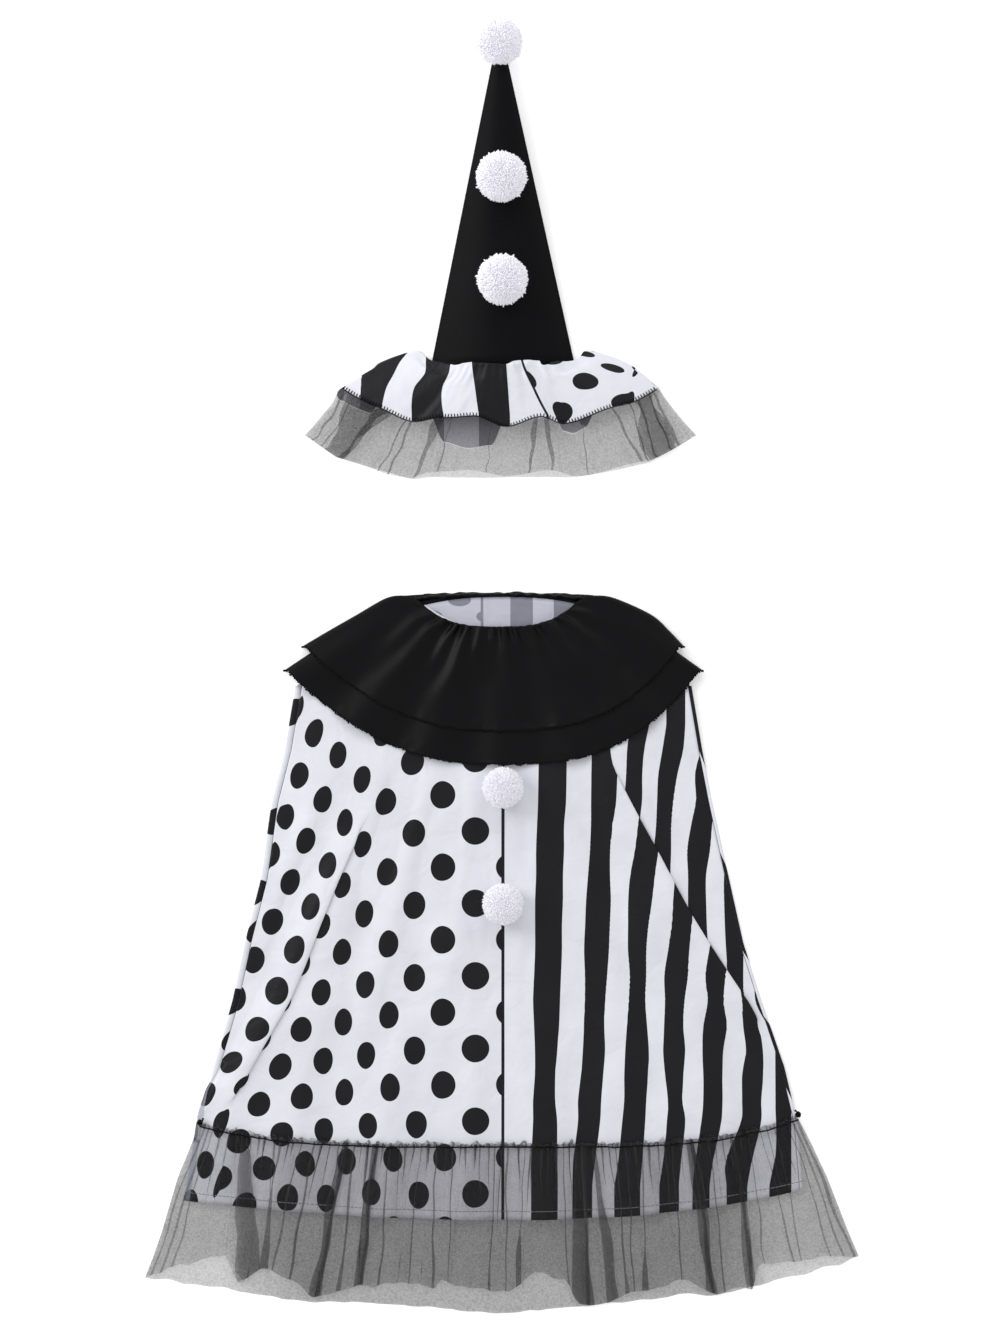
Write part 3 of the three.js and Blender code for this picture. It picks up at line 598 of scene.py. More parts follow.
# The same for the columns of dots, with how far each column hangs below the one at the centre
DOT_PLACES = [0, 27, 61, 95, 129, 163, 197, 231, 265, 299, 333, 367, 401, 435, 469]
DOTS_INNER = [
    (150, 0, 28, 61, 91, 119, 142, 164, 186, 205, 223, 241, 258, 276, 294, 312),
    (250, 0, 28, 61, 89, 117, 141, 160, 178, 196, 214, 232, 250, 268, 286, 304),
    (350, 0, 28, 61, 89, 115, 138, 161, 182, 202, 220, 238, 256, 274, 292, 310),
    (450, 0, 28, 61, 89, 114, 137, 159, 179, 201, 222, 243, 264, 285, 303, 320),
    (525, 0, 28, 60, 87, 112, 135, 158, 179, 199, 222, 243, 265, 289, 305, 318),
    (590, 0, 29, 58, 84.5, 109, 131, 155, 177, 196, 214, 236, 258, 282, 302, 313),
]
DROPS_INNER = [
    (150, 0, 0, 0, 3, 9, 24, 34, 40, 45, 50, 52, 54, 56, 58, 60),
    (250, 0, 0, 0, 2, 5, 13, 22, 34, 38, 42, 45, 48, 50, 52, 54),
    (350, 0, 0, 0, 2, 4, 10, 12, 20, 26, 32, 36, 40, 44, 46, 48),
    (450, 0, 0, 0, 2, 2, 7, 9, 13, 15, 19, 26, 32, 35, 40, 42),
    (525, 0, 0, 0, 4, 2, 5, 6, 11, 9, 15, 17, 23, 27, 31, 33),
    (590, 0, 0, 0, 2, 0, -3, 3, 5, 5, 3, 8, 13, 19, 31, 33),
]
DOTS_OUTER = [
    (140, 0, 28, 61, 91, 119, 144, 167, 189, 208, 224, 242, 259, 276, 293, 311),
    (200, 0, 28, 61, 89, 117, 140, 160, 179, 202, 219, 236, 254, 272, 290, 308),
    (260, 0, 28, 60, 86, 110, 134, 156, 175, 196, 214, 232, 251, 270, 288, 306),
    (320, 0, 28, 58, 84, 107, 130, 152, 172, 191, 210, 231, 250, 269, 287, 305),
    (380, 0, 28, 57, 82, 105, 127, 148, 168, 187, 205, 227, 249, 268, 287, 305),
    (440, 0, 28, 58, 83, 106, 127, 147, 166, 184, 200, 222, 247, 267, 287, 305),
    (500, 0, 28, 60, 87, 112, 135, 158, 179, 199, 220, 240, 260, 280, 298, 312),
]
DROPS_OUTER = [
    (140, 0, 0, 0, 3, 9, 24, 34, 48, 57, 64, 66, 68, 70, 72, 74),
    (200, 0, 0, 0, 3, 9, 20, 29, 41, 51, 61, 62, 64, 66, 68, 70),
    (260, 0, 0, 0, 3, 7, 16, 26, 35, 44, 54, 59, 61, 63, 65, 67),
    (320, 0, 0, 0, 3, 7, 14, 22, 30, 38, 48, 55, 58, 60, 62, 64),
    (380, 0, 0, 0, 3, 7, 14, 20, 28, 34, 45, 51, 56, 58, 60, 62),
    (440, 0, 0, 0, 3, 7, 14, 20, 26, 33, 42, 48, 52, 56, 58, 60),
    (500, 0, 0, 0, 3, 3, 6, 8, 12, 14, 20, 26, 32, 40, 44, 46),
]


def front_print(side, region, distance, down):
    """The cloth coordinates of a place on the front, in millimetres."""
    if side == "right":
        rows = STRIPES_INNER if region == "inner" else STRIPES_OUTER
        return read_line(read_curve(rows, down), STRIPE_PLACES, distance), down
    places, drops = (DOTS_INNER, DROPS_INNER) if region == "inner" else (DOTS_OUTER, DROPS_OUTER)
    u = read_line(read_curve(places, down), DOT_PLACES, distance)
    drop = read_line(DOT_PLACES, read_curve(drops, down), clamp(u, 0, DOT_PLACES[-1]))
    return -u, down - drop


def pleat_section(table, down):
    """Distances across a pleat, from over it to beyond it, and the lift of the cloth at each."""
    edge, tuck, rise = read_rows(table, down)
    turn = LAYER / 2
    flat = [-30, -12, -8, -5, -2, 0, 2, 4, 7]
    folded = [
        (-tuck - 30, 0), (-tuck - 6, 2), (-turn, 2), (0, 1.5), (-turn, 1),
        (-tuck, 1), (-tuck - turn, 0.5), (-tuck, 0), (7, 0),
    ]
    return [
        (edge + lerp(level, distance, rise), lift * LAYER * rise)
        for level, (distance, lift) in zip(flat, folded)
    ]


SECTION_STEPS = 3
# Columns of the front's grid on each side: from the centre line to the pleat and from there to the seam
INNER_COLUMNS, OUTER_COLUMNS = 62, 26


def front_half_row(side, v):
    """Points of one side of a front row and their cloth coordinates, from the centre line outwards."""
    sign = -1 if side == "left" else 1
    pleat_down = body_down(sign * 0.5, v, NECK_FRONT_DOWN)
    section = pleat_section(PLEAT_LEFT if side == "left" else PLEAT_RIGHT, pleat_down)
    # Steps along the section: 0 to 3 is the cloth on top, 7 to 8 the cloth under it
    parts = ["over"] * 4 + ["hidden"] * 3 + ["under"] * 2
    if side == "left":
        edge = read_rows(PLEAT_LEFT, pleat_down)[0]
        section = [(2 * edge - distance, lift) for distance, lift in reversed(section)]
        parts.reverse()
    regions = {"over": "outer", "under": "inner"} if side == "left" else {"over": "inner", "under": "outer"}
    seam_down = body_down(sign, v, NECK_FRONT_DOWN)
    seam = body_side(side, seam_down) - SIDE_SEAM_INSET[side] - SEAM_GAP
    found = []

    def take(distance, lift, region):
        x = sign * distance
        down = row_down(x, v, NECK_FRONT_DOWN)
        found.append((x, down, lift, region and front_print(side, region, distance, down)))

    for distance in steps(0, section[0][0], INNER_COLUMNS)[:-1]:
        take(distance, 0, "inner")
    last = len(section) - 1
    for i in range(last):
        for k in range(SECTION_STEPS):
            share = k / SECTION_STEPS
            distance = lerp(section[i][0], section[i + 1][0], share)
            lift = lerp(section[i][1], section[i + 1][1], share)
            part = parts[i] if parts[i] == parts[i + 1] or k == 0 else "hidden"
            take(distance, lift, regions.get(part))
    for distance in steps(section[last][0], seam, OUTER_COLUMNS):
        take(distance, 0, "outer")
    known = [i for i, item in enumerate(found) if item[3]]
    for before, after in zip(known, known[1:]):
        for i in range(before + 1, after):
            share = (i - before) / (after - before)
            a, b = found[before][3], found[after][3]
            found[i] = (*found[i][:3], (lerp(a[0], b[0], share), lerp(a[1], b[1], share)))
    x, _, lift, cloth = found[-1]
    found[-1] = (sign * seam, seam_down, lift, cloth)
    return found


def hem_distance(x, down):
    q = clamp(x / body_side(side_name(x), down), -1, 1)
    return across_curve(HEM, q) - down


def front_cloth():
    """The front, with a pleat on each side and the print on its cloth."""
    grid, cloth, edge = [], [], []
    for v in steps(0, 1, 128):
        row = front_half_row("left", v)[::-1] + front_half_row("right", v)[1:]
        points = []
        for x, down, lift, _ in row:
            points.append(place(CAPE_PLACE, x, down, front_z(x, down) + drape(x, down) + lift))
        grid.append(points)
        cloth.append([uv for *_, uv in row])
        edge.append([(EDGE_START + x, hem_distance(x, down)) for x, down, *_ in row])
    return lay_cloth("front_cloth", grid, cloth, [satin_face, satin_reverse],
                     "front_panel", SATIN_THICKNESS, edge=edge)


# The back's print as it shows in the neck: where its centre line lies, how far the cloth spreads the
# dots and stripes, and the place of the rows, which are drawn together at the gathers
BACK_LINE, BACK_SPREAD = -21, 1.2
BACK_GATHERED_TO, BACK_GATHERED, BACK_SHIFT = 30, 2.2, 46


BACK_COLUMNS = 120


def back_cloth():
    """The back, which turns over both side edges to the side seams on the front."""
    turn = LOOSE_LAYER / 2
    grid, cloth, edge = [], [], []
    for v in steps(0, 1, 110):
        row = []
        for side, sign in (("left", -1), ("right", 1)):
            down = body_down(sign, v, 0)
            reach = body_side(side, down)
            z = back_z(sign * reach, down)
            turned = [
                (sign * (reach - SIDE_SEAM_INSET[side]), down, z + LOOSE_LAYER),
                (sign * (reach - turn), down, z + LOOSE_LAYER),
                (sign * (reach - turn * 0.3), down, z + turn * 1.7),
                (sign * reach, down, z + turn),
                (sign * (reach - turn * 0.3), down, z + turn * 0.3),
                (sign * (reach - turn), down, z),
            ]
            if side == "left":
                row += turned
                for q in steps(-0.97, 0.97, BACK_COLUMNS):
                    down = body_down(q, v, 0)
                    x = q * body_side(side_name(q), down)
                    row.append((x, down, back_z(x, down)))
            else:
                row += reversed(turned)
        grid.append([place(CAPE_PLACE, *point) for point in row])
        # Lengths along the row, and the length at which the print's centre line shows in the neck
        length = 0
        run = []
        for before, after in zip(row[:1] + row, row):
            length += math.hypot(after[0] - before[0], after[2] - before[2])
            run.append(length)
        lying = slice(len(turned), -len(turned))
        middle = read_line([point[0] for point in row[lying]], run[lying], BACK_LINE)
        printed = []
        for (x, down, _), along in zip(row, run):
            gathered = min(down - BACK_GATHERED_TO, 0) * (BACK_GATHERED - 1)
            printed.append(((along - middle) * BACK_SPREAD, BACK_SHIFT + down + gathered))
        cloth.append(printed)
        edge.append([(EDGE_START + x, hem_distance(x, down)) for x, down, _ in row])
    return lay_cloth("back_cloth", grid, cloth, [satin_reverse, satin_face],
                     "back_panel", SATIN_THICKNESS, edge=edge)


front = front_cloth()
back = back_cloth()

# Collar. Rows from the neck to the hem: left, right, down at the sides, at the front's middle and at
# the back's middle, and how high the back lies
COLLAR_UPPER = [
    (-90, 81, 2, 30.5, -1, 4.2), (-102, 95, -1, 42, -3.4, 1.9), (-118, 113, 2, 58, 2, 0),
    (-146, 148, 18, 84, 58, 0), (-174, 166, 34, 109, 92, 0), (-201, 181, 50, 133, 122, 0),
]
COLLAR_LOWER = [
    (-85, 76, 4, 32, -0.5, 1.4), (-95, 88, 6, 45, 3, 0.1), (-146, 138, 28, 84, 48, 0),
    (-184, 168, 51, 128, 108, 0), (-219, 200, 74, 167, 156, 0),
]
COLLAR_WAVES = {
    "count": 19, "height": 6, "centre_up": 60, "from": 110, "to": 230, "fade_from": 0.9, "fade_to": 1.15,
}
# Gathers round the neck of the upper tier, and the share of its length that they reach
NECK_GATHERS = {"count": 18, "height": 1.6, "reach": 0.45}
COLLAR_COLUMNS = 150


def collar_wave(x, down):
    """Long waves of the collar that fan out towards its hem."""
    angle = math.atan2(x, down + COLLAR_WAVES["centre_up"])
    reach = math.hypot(x, down + COLLAR_WAVES["centre_up"])
    fade = smooth(reach, COLLAR_WAVES["from"], COLLAR_WAVES["to"])
    fade *= 1 - smooth(abs(angle), COLLAR_WAVES["fade_from"], COLLAR_WAVES["fade_to"])
    return COLLAR_WAVES["height"] * fade * (1 + math.cos(COLLAR_WAVES["count"] * angle)) / 2


def folded_loop(left, right, front_half, back_half, front_places, back_count, place_at):
    """One loop of a ring folded flat, closed by its last point on its first one. front_places are
    the places across the front half, from -1 to 1, and how far the cloth lifts there."""
    def turn(u):
        return (front_half(u)[1] - back_half(u)[1]) / 2

    def along(u, half, lift=0):
        down, z = half(u)
        return Vector((lerp(left + turn(-1), right - turn(1), (u + 1) / 2), down, z + lift))

    front_line = [along(u, front_half, lift) for u, lift in front_places]
    back_line = [along(u, back_half) for u in steps(1, -1, back_count)]

    def fold(start, end, outward):
        middle, radius = (start + end) / 2, (start - end).length / 2
        bends = []
        for k in range(1, 6):
            angle = math.pi * k / 6
            point = middle + (start - middle) * math.cos(angle)
            point.x += outward * radius * math.sin(angle)
            bends.append(point)
        return bends

    right_fold = fold(front_line[-1], back_line[0], 1)
    left_fold = fold(back_line[-1], front_line[0], -1)
    loop = [*front_line, *right_fold, *back_line, *left_fold, front_line[0]]
    return [place(place_at, *point) for point in loop]


def even_places(count):
    return [(u, 0) for u in steps(-1, 1, count)]


def along_rows(grid):
    """Cloth coordinates of a grid by the lengths along its middle row and down its first half."""
    rows = len(grid)
    middle = grid[rows // 2]
    us, total = [0], 0
    for before, after in zip(middle, middle[1:]):
        total += (after - before).length / MM
        us.append(total)
    vs, total = [0], 0
    quarter = len(grid[0]) // 4
    for before, after in zip(grid, grid[1:]):
        total += (after[quarter] - before[quarter]).length / MM
        vs.append(total)
    return [[(u, v) for u in us] for v in vs]


def spread(table, share):
    """A row of a table at a share of its length, from curves through its rows."""
    at = share * (len(table) - 1)
    i = min(int(at), len(table) - 2)
    t = at - i
    before, after = table[max(i - 1, 0)], table[min(i + 2, len(table) - 1)]
    row = []
    for p0, p1, p2, p3 in zip(before, table[i], table[i + 1], after):
        bend = 2 * p0 - 5 * p1 + 4 * p2 - p3 + t * (3 * (p1 - p2) + p3 - p0)
        row.append(p1 + 0.5 * t * (p2 - p0 + t * bend))
    return row


# Folds that start at the neck of the upper tier: place across, half-width, length and height
NECK_FOLDS = [
    (-0.78, 0.03, 1.0, 4.6), (-0.66, 0.035, 1.1, 6.0), (-0.5, 0.025, 0.8, 4.0), (-0.36, 0.035, 1.0, 5.2),
    (-0.22, 0.03, 0.6, 3.6), (-0.08, 0.025, 0.35, 2.4), (0.06, 0.04, 0.7, 3.8), (0.19, 0.025, 0.45, 3.0),
    (0.36, 0.035, 0.6, 3.2), (0.55, 0.05, 0.9, 4.4), (0.72, 0.04, 0.8, 4.0), (0.86, 0.03, 0.6, 3.0),
]


def neck_folds(u, share):
    """Height of the upper tier's folds, which widen and end down the tier."""
    lift = 0
    for at, half, length, height in NECK_FOLDS:
        width = half * (1 + 1.5 * share)
        lift += height * math.exp(-(((u - at) / width) ** 2)) * (1 - smooth(share, length * 0.5, length))
    return lift


def collar_tier(name, table, tier, node):
    """One tier, a ring folded flat at the shoulders: 0 is the lower one and 1 the upper one."""
    front_base = CLOTH / 2 + BACK_ON_COLLAR + LAYER + (1 + tier) * LOOSE_LAYER
    back_base = CLOTH / 2 + (1 - tier) * LAYER
    grid = []
    for share in steps(0, 1, 56):
        left, right, side, front_middle, back_middle, back_rise = spread(table, share)

        def front_half(u):
            down = collar_arc(side, front_middle, u, 1 - smooth(share, 0, 0.4))
            x = lerp(left, right, (u + 1) / 2)
            gather = NECK_GATHERS["height"] * waved(NECK_GATHERS["count"], u)
            gather *= 1 - smooth(share, 0, NECK_GATHERS["reach"])
            soft = (ripple(x, down, 34, 1.3 + tier) + 0.4) * 1.1
            lip = ripple(x, down, 9, 5.5) * 1.2 * smooth(share, 0.85, 1)
            lift = tier * (gather + neck_folds(u, share) + max(soft, 0)) + max(lip, 0)
            rough_hem = 1.2 * ripple(x, down, 7, 9.1) * smooth(share, 0.93, 1)
            return down + rough_hem, front_base + collar_wave(x, down) + lift * (1 - u**6)

        def back_half(u):
            lump = ripple(u * 90, share * 30, 8, 4.4) * (1 - u**6) * (1 - smooth(share, 0.35, 0.6))
            z = back_base + max(back_rise, 0) + 0.5 * abs(lump)
            return collar_arc(side, back_middle, u) + 1.6 * lump, z

        places = even_places(COLLAR_COLUMNS)
        grid.append(folded_loop(left, right, front_half, back_half, places, 60, CAPE_PLACE))
    piece = lay_cloth(name, grid, along_rows(grid), [collar_satin], node, SATIN_THICKNESS,
                      ring=True)
    return piece, grid[-1]


collar_under, under_hem = collar_tier("collar_under_tier", COLLAR_LOWER, 0, "collar_lower")
collar_top, top_hem = collar_tier("collar_top_tier", COLLAR_UPPER, 1, "collar_upper")

# Tulle frill of the cape. TULLE_SIDES gives down and half the width on the left and on the right.
TULLE_SIDES = [
    (519, 302, 294), (546, 311, 308), (580, 325, 324), (634, 341, 345), (660, 350, 356), (680, 358, 358),
]
# The back strip's uneven hem, as down at places across
BACK_HEM_PLACES = [
    -358, -347, -286, -243, -200, -156, -113, -70, -26, 8, 30, 74, 117, 160, 182, 212, 247, 290, 334, 357,
]
BACK_HEM_DOWNS = [
    680, 682, 690, 698, 704, 705, 707, 710, 715, 716, 713, 709, 705, 701, 697, 698, 690, 679, 668, 659,
]
# Soft waves of the front strip, higher towards its hem
TULLE_GATHERS = {"count": 24, "height": 3}
# Folds of the front strip: place at the seam and at the hem, width at the seam and at the hem
TULLE_FOLDS = [
    (-297, -351, 2, 3), (-293, -342, 1.5, 3), (-289, -330, 1, 2), (-258, -254, 4, 26), (-200, -231, 1, 2),
    (-188, -213, 1.5, 2.5), (-157, -188, 5, 12), (-156, -186, 3, 6), (-148, -163, 2, 3), (-127, -144, 6, 9),
    (-126, -142, 3, 5), (-112, -124, 1, 2), (-81, -96, 1, 1.5), (-66, -71, 1.5, 2.5), (-50, -56, 1, 1.2),
    (-8, -14, 1, 1.2), (5, 2, 1.5, 1.2), (22, 13, 1, 1.2), (60, 65, 1, 1.5), (74, 79, 5, 19), (80, 84, 3, 4),
    (90, 110, 3, 13), (112, 124, 1, 2), (122, 131, 1, 1.5), (139, 141, 1, 2), (168, 179, 1, 1.5),
    (186, 208, 9, 12), (188, 210, 5, 6), (204, 222, 1, 2), (227, 248, 4, 8), (228, 250, 2, 4),
    (244, 262, 1, 1.5), (256, 290, 1, 2), (270, 299, 1, 1.5), (283, 328, 1, 2), (288, 340, 1.5, 2.5),
    (292, 350, 2, 3),
]
# Between them short gathers start at the seam and run out at these shares of the way down
SHORT_GATHER = {"every": 6.5, "seam_width": 2.6, "lean": 9, "ends": (0.12, 0.6)}
# The front strip's uneven hem, as down at places across
FRONT_HEM_PLACES = [
    -358, -345, -323, -271, -264, -238, -206, -189, -134, -93, -69, -61, -43, 4, 35, 61, 75, 89, 139, 179,
    212, 230, 248, 256, 290, 327, 340, 356,
]
FRONT_HEM_DOWNS = [
    680, 676, 667, 657, 684, 671, 684, 699, 688, 685, 691, 682, 689, 694, 675, 682, 705, 708, 694, 682,
    697, 690, 691, 667, 664, 659, 659, 659,
]
# Half the hem's width, and the whole widths at the seam and the hem across which the folds were read
HEM_HALF = 357
FOLDS_WIDTH = (598, 713)
FOLD_LAYER = 0.5
# The seam's standing frill: its ends, and the down at which the strip's width is taken for it
SEAM_FRILL = {"left": -302, "right": 293, "width_at": 535}
dice = random.Random(5)


def tulle_side(side, down):
    return read_side(TULLE_SIDES, side, down)


def seam_place(x):
    """The share across the seam at a distance across."""
    return clamp(x / tulle_side(side_name(x), SEAM_FRILL["width_at"]), -1, 1)


def tulle_front_z(x, down, q, v):
    """Height of the front strip, which lies on the body and then on the table."""
    hem = across_curve(HEM, q)
    side = body_side(side_name(x), down)
    on_body = (1 - smooth(down, hem + 8, hem + 32)) * (1 - smooth(abs(x), side + 4, side + 22))
    lying = CLOTH / 2 + LAYER
    gather = TULLE_GATHERS["height"] * (0.4 + 0.6 * v) * waved(TULLE_GATHERS["count"], q)
    loft = front_z(x, down) + max(drape(x, down), 0) + LOOSE_LAYER + 0.4
    return lerp(lying, loft, on_body) + gather


def folded_places(folds, v, left, right, step, bulge=1):
    """Places across a row and their lifts: the cloth runs to each fold, turns back over it and goes on.
    A fold may end at a share of the way down."""
    stops = [(left, 0)]
    for at_seam, at_hem, seam_width, hem_width, *end in folds:
        wander = 2.4 * ripple(at_seam, v * 3.4, 1, 6.6) * smooth(v, 0, 0.2)
        middle = lerp(at_seam, at_hem, v) * bulge + wander
        half = lerp(seam_width, hem_width, v) / 2 * (1 + 0.6 * ripple(at_hem, v * 3, 1, 2.7))
        if end:
            half = lerp(seam_width, hem_width, min(v / end[0], 1)) / 2
        stops += [(middle + half, 0), (middle - half, 2)]
    stops.append((right, 0))
    places = []
    for i, ((x, lift), (next_x, next_lift)) in enumerate(zip(stops, stops[1:])):
        count = 3 if i % 2 else folds_count(folds, i // 2, step)
        for k in range(count):
            share = k / count
            fade = share if i % 2 else smooth(share, 0.1, 0.6)
            places.append((lerp(x, next_x, share), lerp(lift, next_lift, fade)))
    places.append(stops[-1])
    return places


def with_short_gathers(folds):
    """The same folds with short gathers in the wide gaps between them."""
    found = [folds[0]]
    for after in folds[1:]:
        before = found[-1]
        count = int((after[0] - before[0]) / SHORT_GATHER["every"])
        for k in range(1, count):
            share = k / count + dice.uniform(-0.2, 0.2) / count
            at_seam, at_hem = (lerp(before[i], after[i], share) for i in (0, 1))
            lean = SHORT_GATHER["lean"] * dice.uniform(-1, 1)
            width = SHORT_GATHER["seam_width"] * dice.uniform(0.3, 1.2)
            end = dice.uniform(*SHORT_GATHER["ends"])
            found.append((at_seam, at_hem + lean, width, 0.05, end))
            if dice.random() < 0.6:
                found.append((at_seam + 0.7, at_hem + lean + 0.7, width * 0.7, 0.05, end * 0.7))
        found.append(after)
    return found


def folds_count(folds, i, step):
    """How many columns lie between two folds, the same in every row."""
    if i == 0 or i == len(folds):
        return 6
    return max(3, round((folds[i][0] - folds[i - 1][0]) / step))


def tulle_front():
    """The front strip, whose first row lies just above the seam."""
    grid = []
    folds = with_short_gathers(TULLE_FOLDS)
    for v in [-0.02, *steps(0, 1, 60)]:
        along = max(v, 0)
        left = -tulle_side("left", lerp(TULLE_SEAM["left"], FRONT_HEM_DOWNS[0], along))
        right = tulle_side("right", lerp(TULLE_SEAM["right"], FRONT_HEM_DOWNS[-1], along))
        bulge = (right - left) / lerp(*FOLDS_WIDTH, along)
        points = []
        for x, lift in folded_places(folds, along, left, right, 3.4, bulge):
            q = across_share(x, left, right)
            hem = read_soft(FRONT_HEM_PLACES, FRONT_HEM_DOWNS, lerp(-HEM_HALF, HEM_HALF - 2, (q + 1) / 2))
            hem += 2.5 * ripple(q * 350, 0, 12, 5.2)
            down = lerp(across_curve(TULLE_SEAM, q), hem, v)
            z = tulle_front_z(x, down, q, along) + lift * FOLD_LAYER
            points.append(place(CAPE_PLACE, x, down, z))
        grid.append(points)
    return lay_cloth("front_hem_frill", grid, along_rows(grid), [tulle], "hem_tulle_front")


def seam_frill():
    """The narrow gathered edge that stands above the seam's thread."""
    folds = []
    x = SEAM_FRILL["left"] + 3
    while x < SEAM_FRILL["right"] - 3:
        folds.append((x, x + dice.uniform(-2, 2), dice.uniform(1.5, 5), dice.uniform(0.5, 4.5)))
        x += dice.choice((4, 5.5, 8, 13)) * dice.uniform(0.85, 1.2)
    grid = []
    for v in steps(0, 1, 8):
        points = []
        for x, lift in folded_places(folds, v, SEAM_FRILL["left"], SEAM_FRILL["right"], 2):
            q = seam_place(x)
            reach = 5.5 + 5.5 * ripple(x, 0, 6, 1.9) + 3 * ripple(x, 0, 2.4, 4.9)
            down = across_curve(TULLE_SEAM, q) + 1 - v * reach
            z = tulle_front_z(x, down, q, 0) + lift * FOLD_LAYER * 1.3
            points.append(place(CAPE_PLACE, x, down, z))
        grid.append(points)
    return lay_cloth("seam_frill", grid, along_rows(grid), [tulle])


def tulle_back():
    """The back strip, which lies on the table with a slight rise and fall."""
    grid = []
    for v in steps(0, 1, 40):
        row = []
        for q in steps(-1, 1, 200):
            hem = read_soft(BACK_HEM_PLACES, BACK_HEM_DOWNS, q * HEM_HALF)
            down = lerp(across_curve(TULLE_SEAM, q), hem, v)
            down += 1.6 * ripple(q * 350, 0, 16, 8.2) * v
            x = q * tulle_side(side_name(q), down)
            row.append(place(CAPE_PLACE, x, down, CLOTH / 2 + 0.35 * math.sin(q * 140) * v))
        grid.append(row)
    return lay_cloth("back_hem_frill", grid, along_rows(grid), [back_tulle], "hem_tulle_back")


front_frill = tulle_front()
frill_edge = seam_frill()
back_frill = tulle_back()

# Hat. The cone's tip is lifted by the tip's pompom.
CONE = {
    "length": 295.9, "base_half": 71, "tip_half": 8, "lean": -3,
    "base_height": 28, "tip_height": 5, "tip_lift": 15.5, "nose": 1.3, "roundness": 2.2,
}
# Rows of the rings: left, right, down at the sides, at the front's middle and at the back's middle,
# height, roundness of the edges, roundness of the arc, and height of the waves
HAT_RUFFLE = [
    (-76.5, 76.5, 3.4, 1.4, 1.4, 28, 1.3, 2.2, 0), (-83, 83, -9, 8, 12, 27, 1.8, 12, 0.5),
    (-98, 98, -7, 22, 28, 25, 2, 3.4, 2), (-127, 128, 6, 42, 46, 20, 2.4, 3.2, 4),
    (-162, 156, 28, 61, 60, 15, 2.4, 3.2, 6),
]
HAT_TULLE = [
    (-162, 156, 28.8, 61.8, 60.8, 15, 2.4, 3.2, 6), (-181, 175, 52, 88, 100, 13.5, 2.2, 2.6, 4),
    (-199, 194, 75, 112, 116, 12, 2, 2.2, 4),
]
# Lobes of the ruffle's hem, by the share across, and how far the largest hangs
HAT_LOBES = [
    (-1, 0), (-0.78, 0), (-0.57, 1), (-0.36, -0.5), (-0.16, -1), (0.04, 1), (0.26, -0.8),
    (0.41, 0.8), (0.7, -0.6), (0.88, 0), (1, 0),
]
HAT_LOBE = 5
HAT_GATHERS = {"count": 21, "height": 1}


def lens(u, height, nose, roundness):
    """Height of a flattened tube's upper side above its lower one, from edge to edge."""
    return 2 * nose + (height - 2 * nose) * (1 - abs(u) ** roundness)


def cone_z(down):
    """Height of the cone's upper side along its middle."""
    share = -down / CONE["length"]
    return FELT + CONE["tip_lift"] * share + lerp(CONE["base_height"], CONE["tip_height"], share)


def cone_shell():
    """The cone as a flattened tube, whose first rows are tucked in under the ruffle."""
    grid = []
    for share in [-0.045, -0.03, -0.015, *steps(0, 1, 70)]:
        half = lerp(CONE["base_half"], CONE["tip_half"], share) - FELT / 2
        tucked = 3.6 * smooth(-share, 0, 0.015)
        middle, down = CONE["lean"] * share, -CONE["length"] * share
        lift = FELT / 2 + CONE["tip_lift"] * max(share, 0)
        height = lerp(CONE["base_height"], CONE["tip_height"], share)

        def front_half(u):
            dent = 0.5 * ripple(u * half, down * 0.5, 30, 6.1) * (1 - u**4)
            return down, lift + lens(u, height - tucked, CONE["nose"], CONE["roundness"]) + dent

        def back_half(u):
            return down, lift

        left, right = middle - half, middle + half
        grid.append(folded_loop(left, right, front_half, back_half, even_places(60), 30, HAT_PLACE))
    return lay_cloth("cone_shell", grid, along_rows(grid), [cone_felt], "hat_cone",
                     FELT * 0.9, ring=True)


def read_lobes(lobes, x):
    """The rise or hang of a soft edge, from a table of (place, amount)."""
    places, rises = zip(*lobes)
    return read_soft(places, rises, x)


# Folds of the hat's net: place at the ruffle's hem and at the net's, width at both
NET_FOLDS = [
    (-158, -193, 1.5, 2), (-150, -184, 1, 1.5), (-136, -172, 30, 18), (-118, -165, 13, 6),
    (-98, -126, 1.5, 1.5), (-93, -116, 2, 1.5), (-63, -90, 9, 5), (-52, -66, 1, 1), (-12, -16, 1, 1),
    (33, 26, 6, 1.5), (44, 50, 6, 2.5), (78, 86, 1, 1.2), (110, 140, 2, 2.5), (128, 147, 2, 2),
    (137, 155, 2, 2), (142, 160, 20, 30), (148, 171, 1.5, 2), (152, 178, 2, 3),
]
# How far the net's hem hangs below a plain arc, by the distance across
NET_DROP_ACROSS = [-199, -168, -138, -110, -91, -73, -38, 12, 45, 69, 124, 149, 194]
NET_DROP = [0, 10, 9, 10, 12, 5, 2, 0, 2, 6, 8, 10, 0]
# How far the ruffle's hidden half hangs below its plain hem, seen through the net
BACK_LOBES = [
    (-190, 0), (-160, 12), (-136, 10), (-124, -4), (-74, -3), (-60, 22), (-36, 27), (-12, 24), (2, 0),
    (52, -4), (62, 12), (72, 15), (84, 11), (94, -4), (190, 0),
]


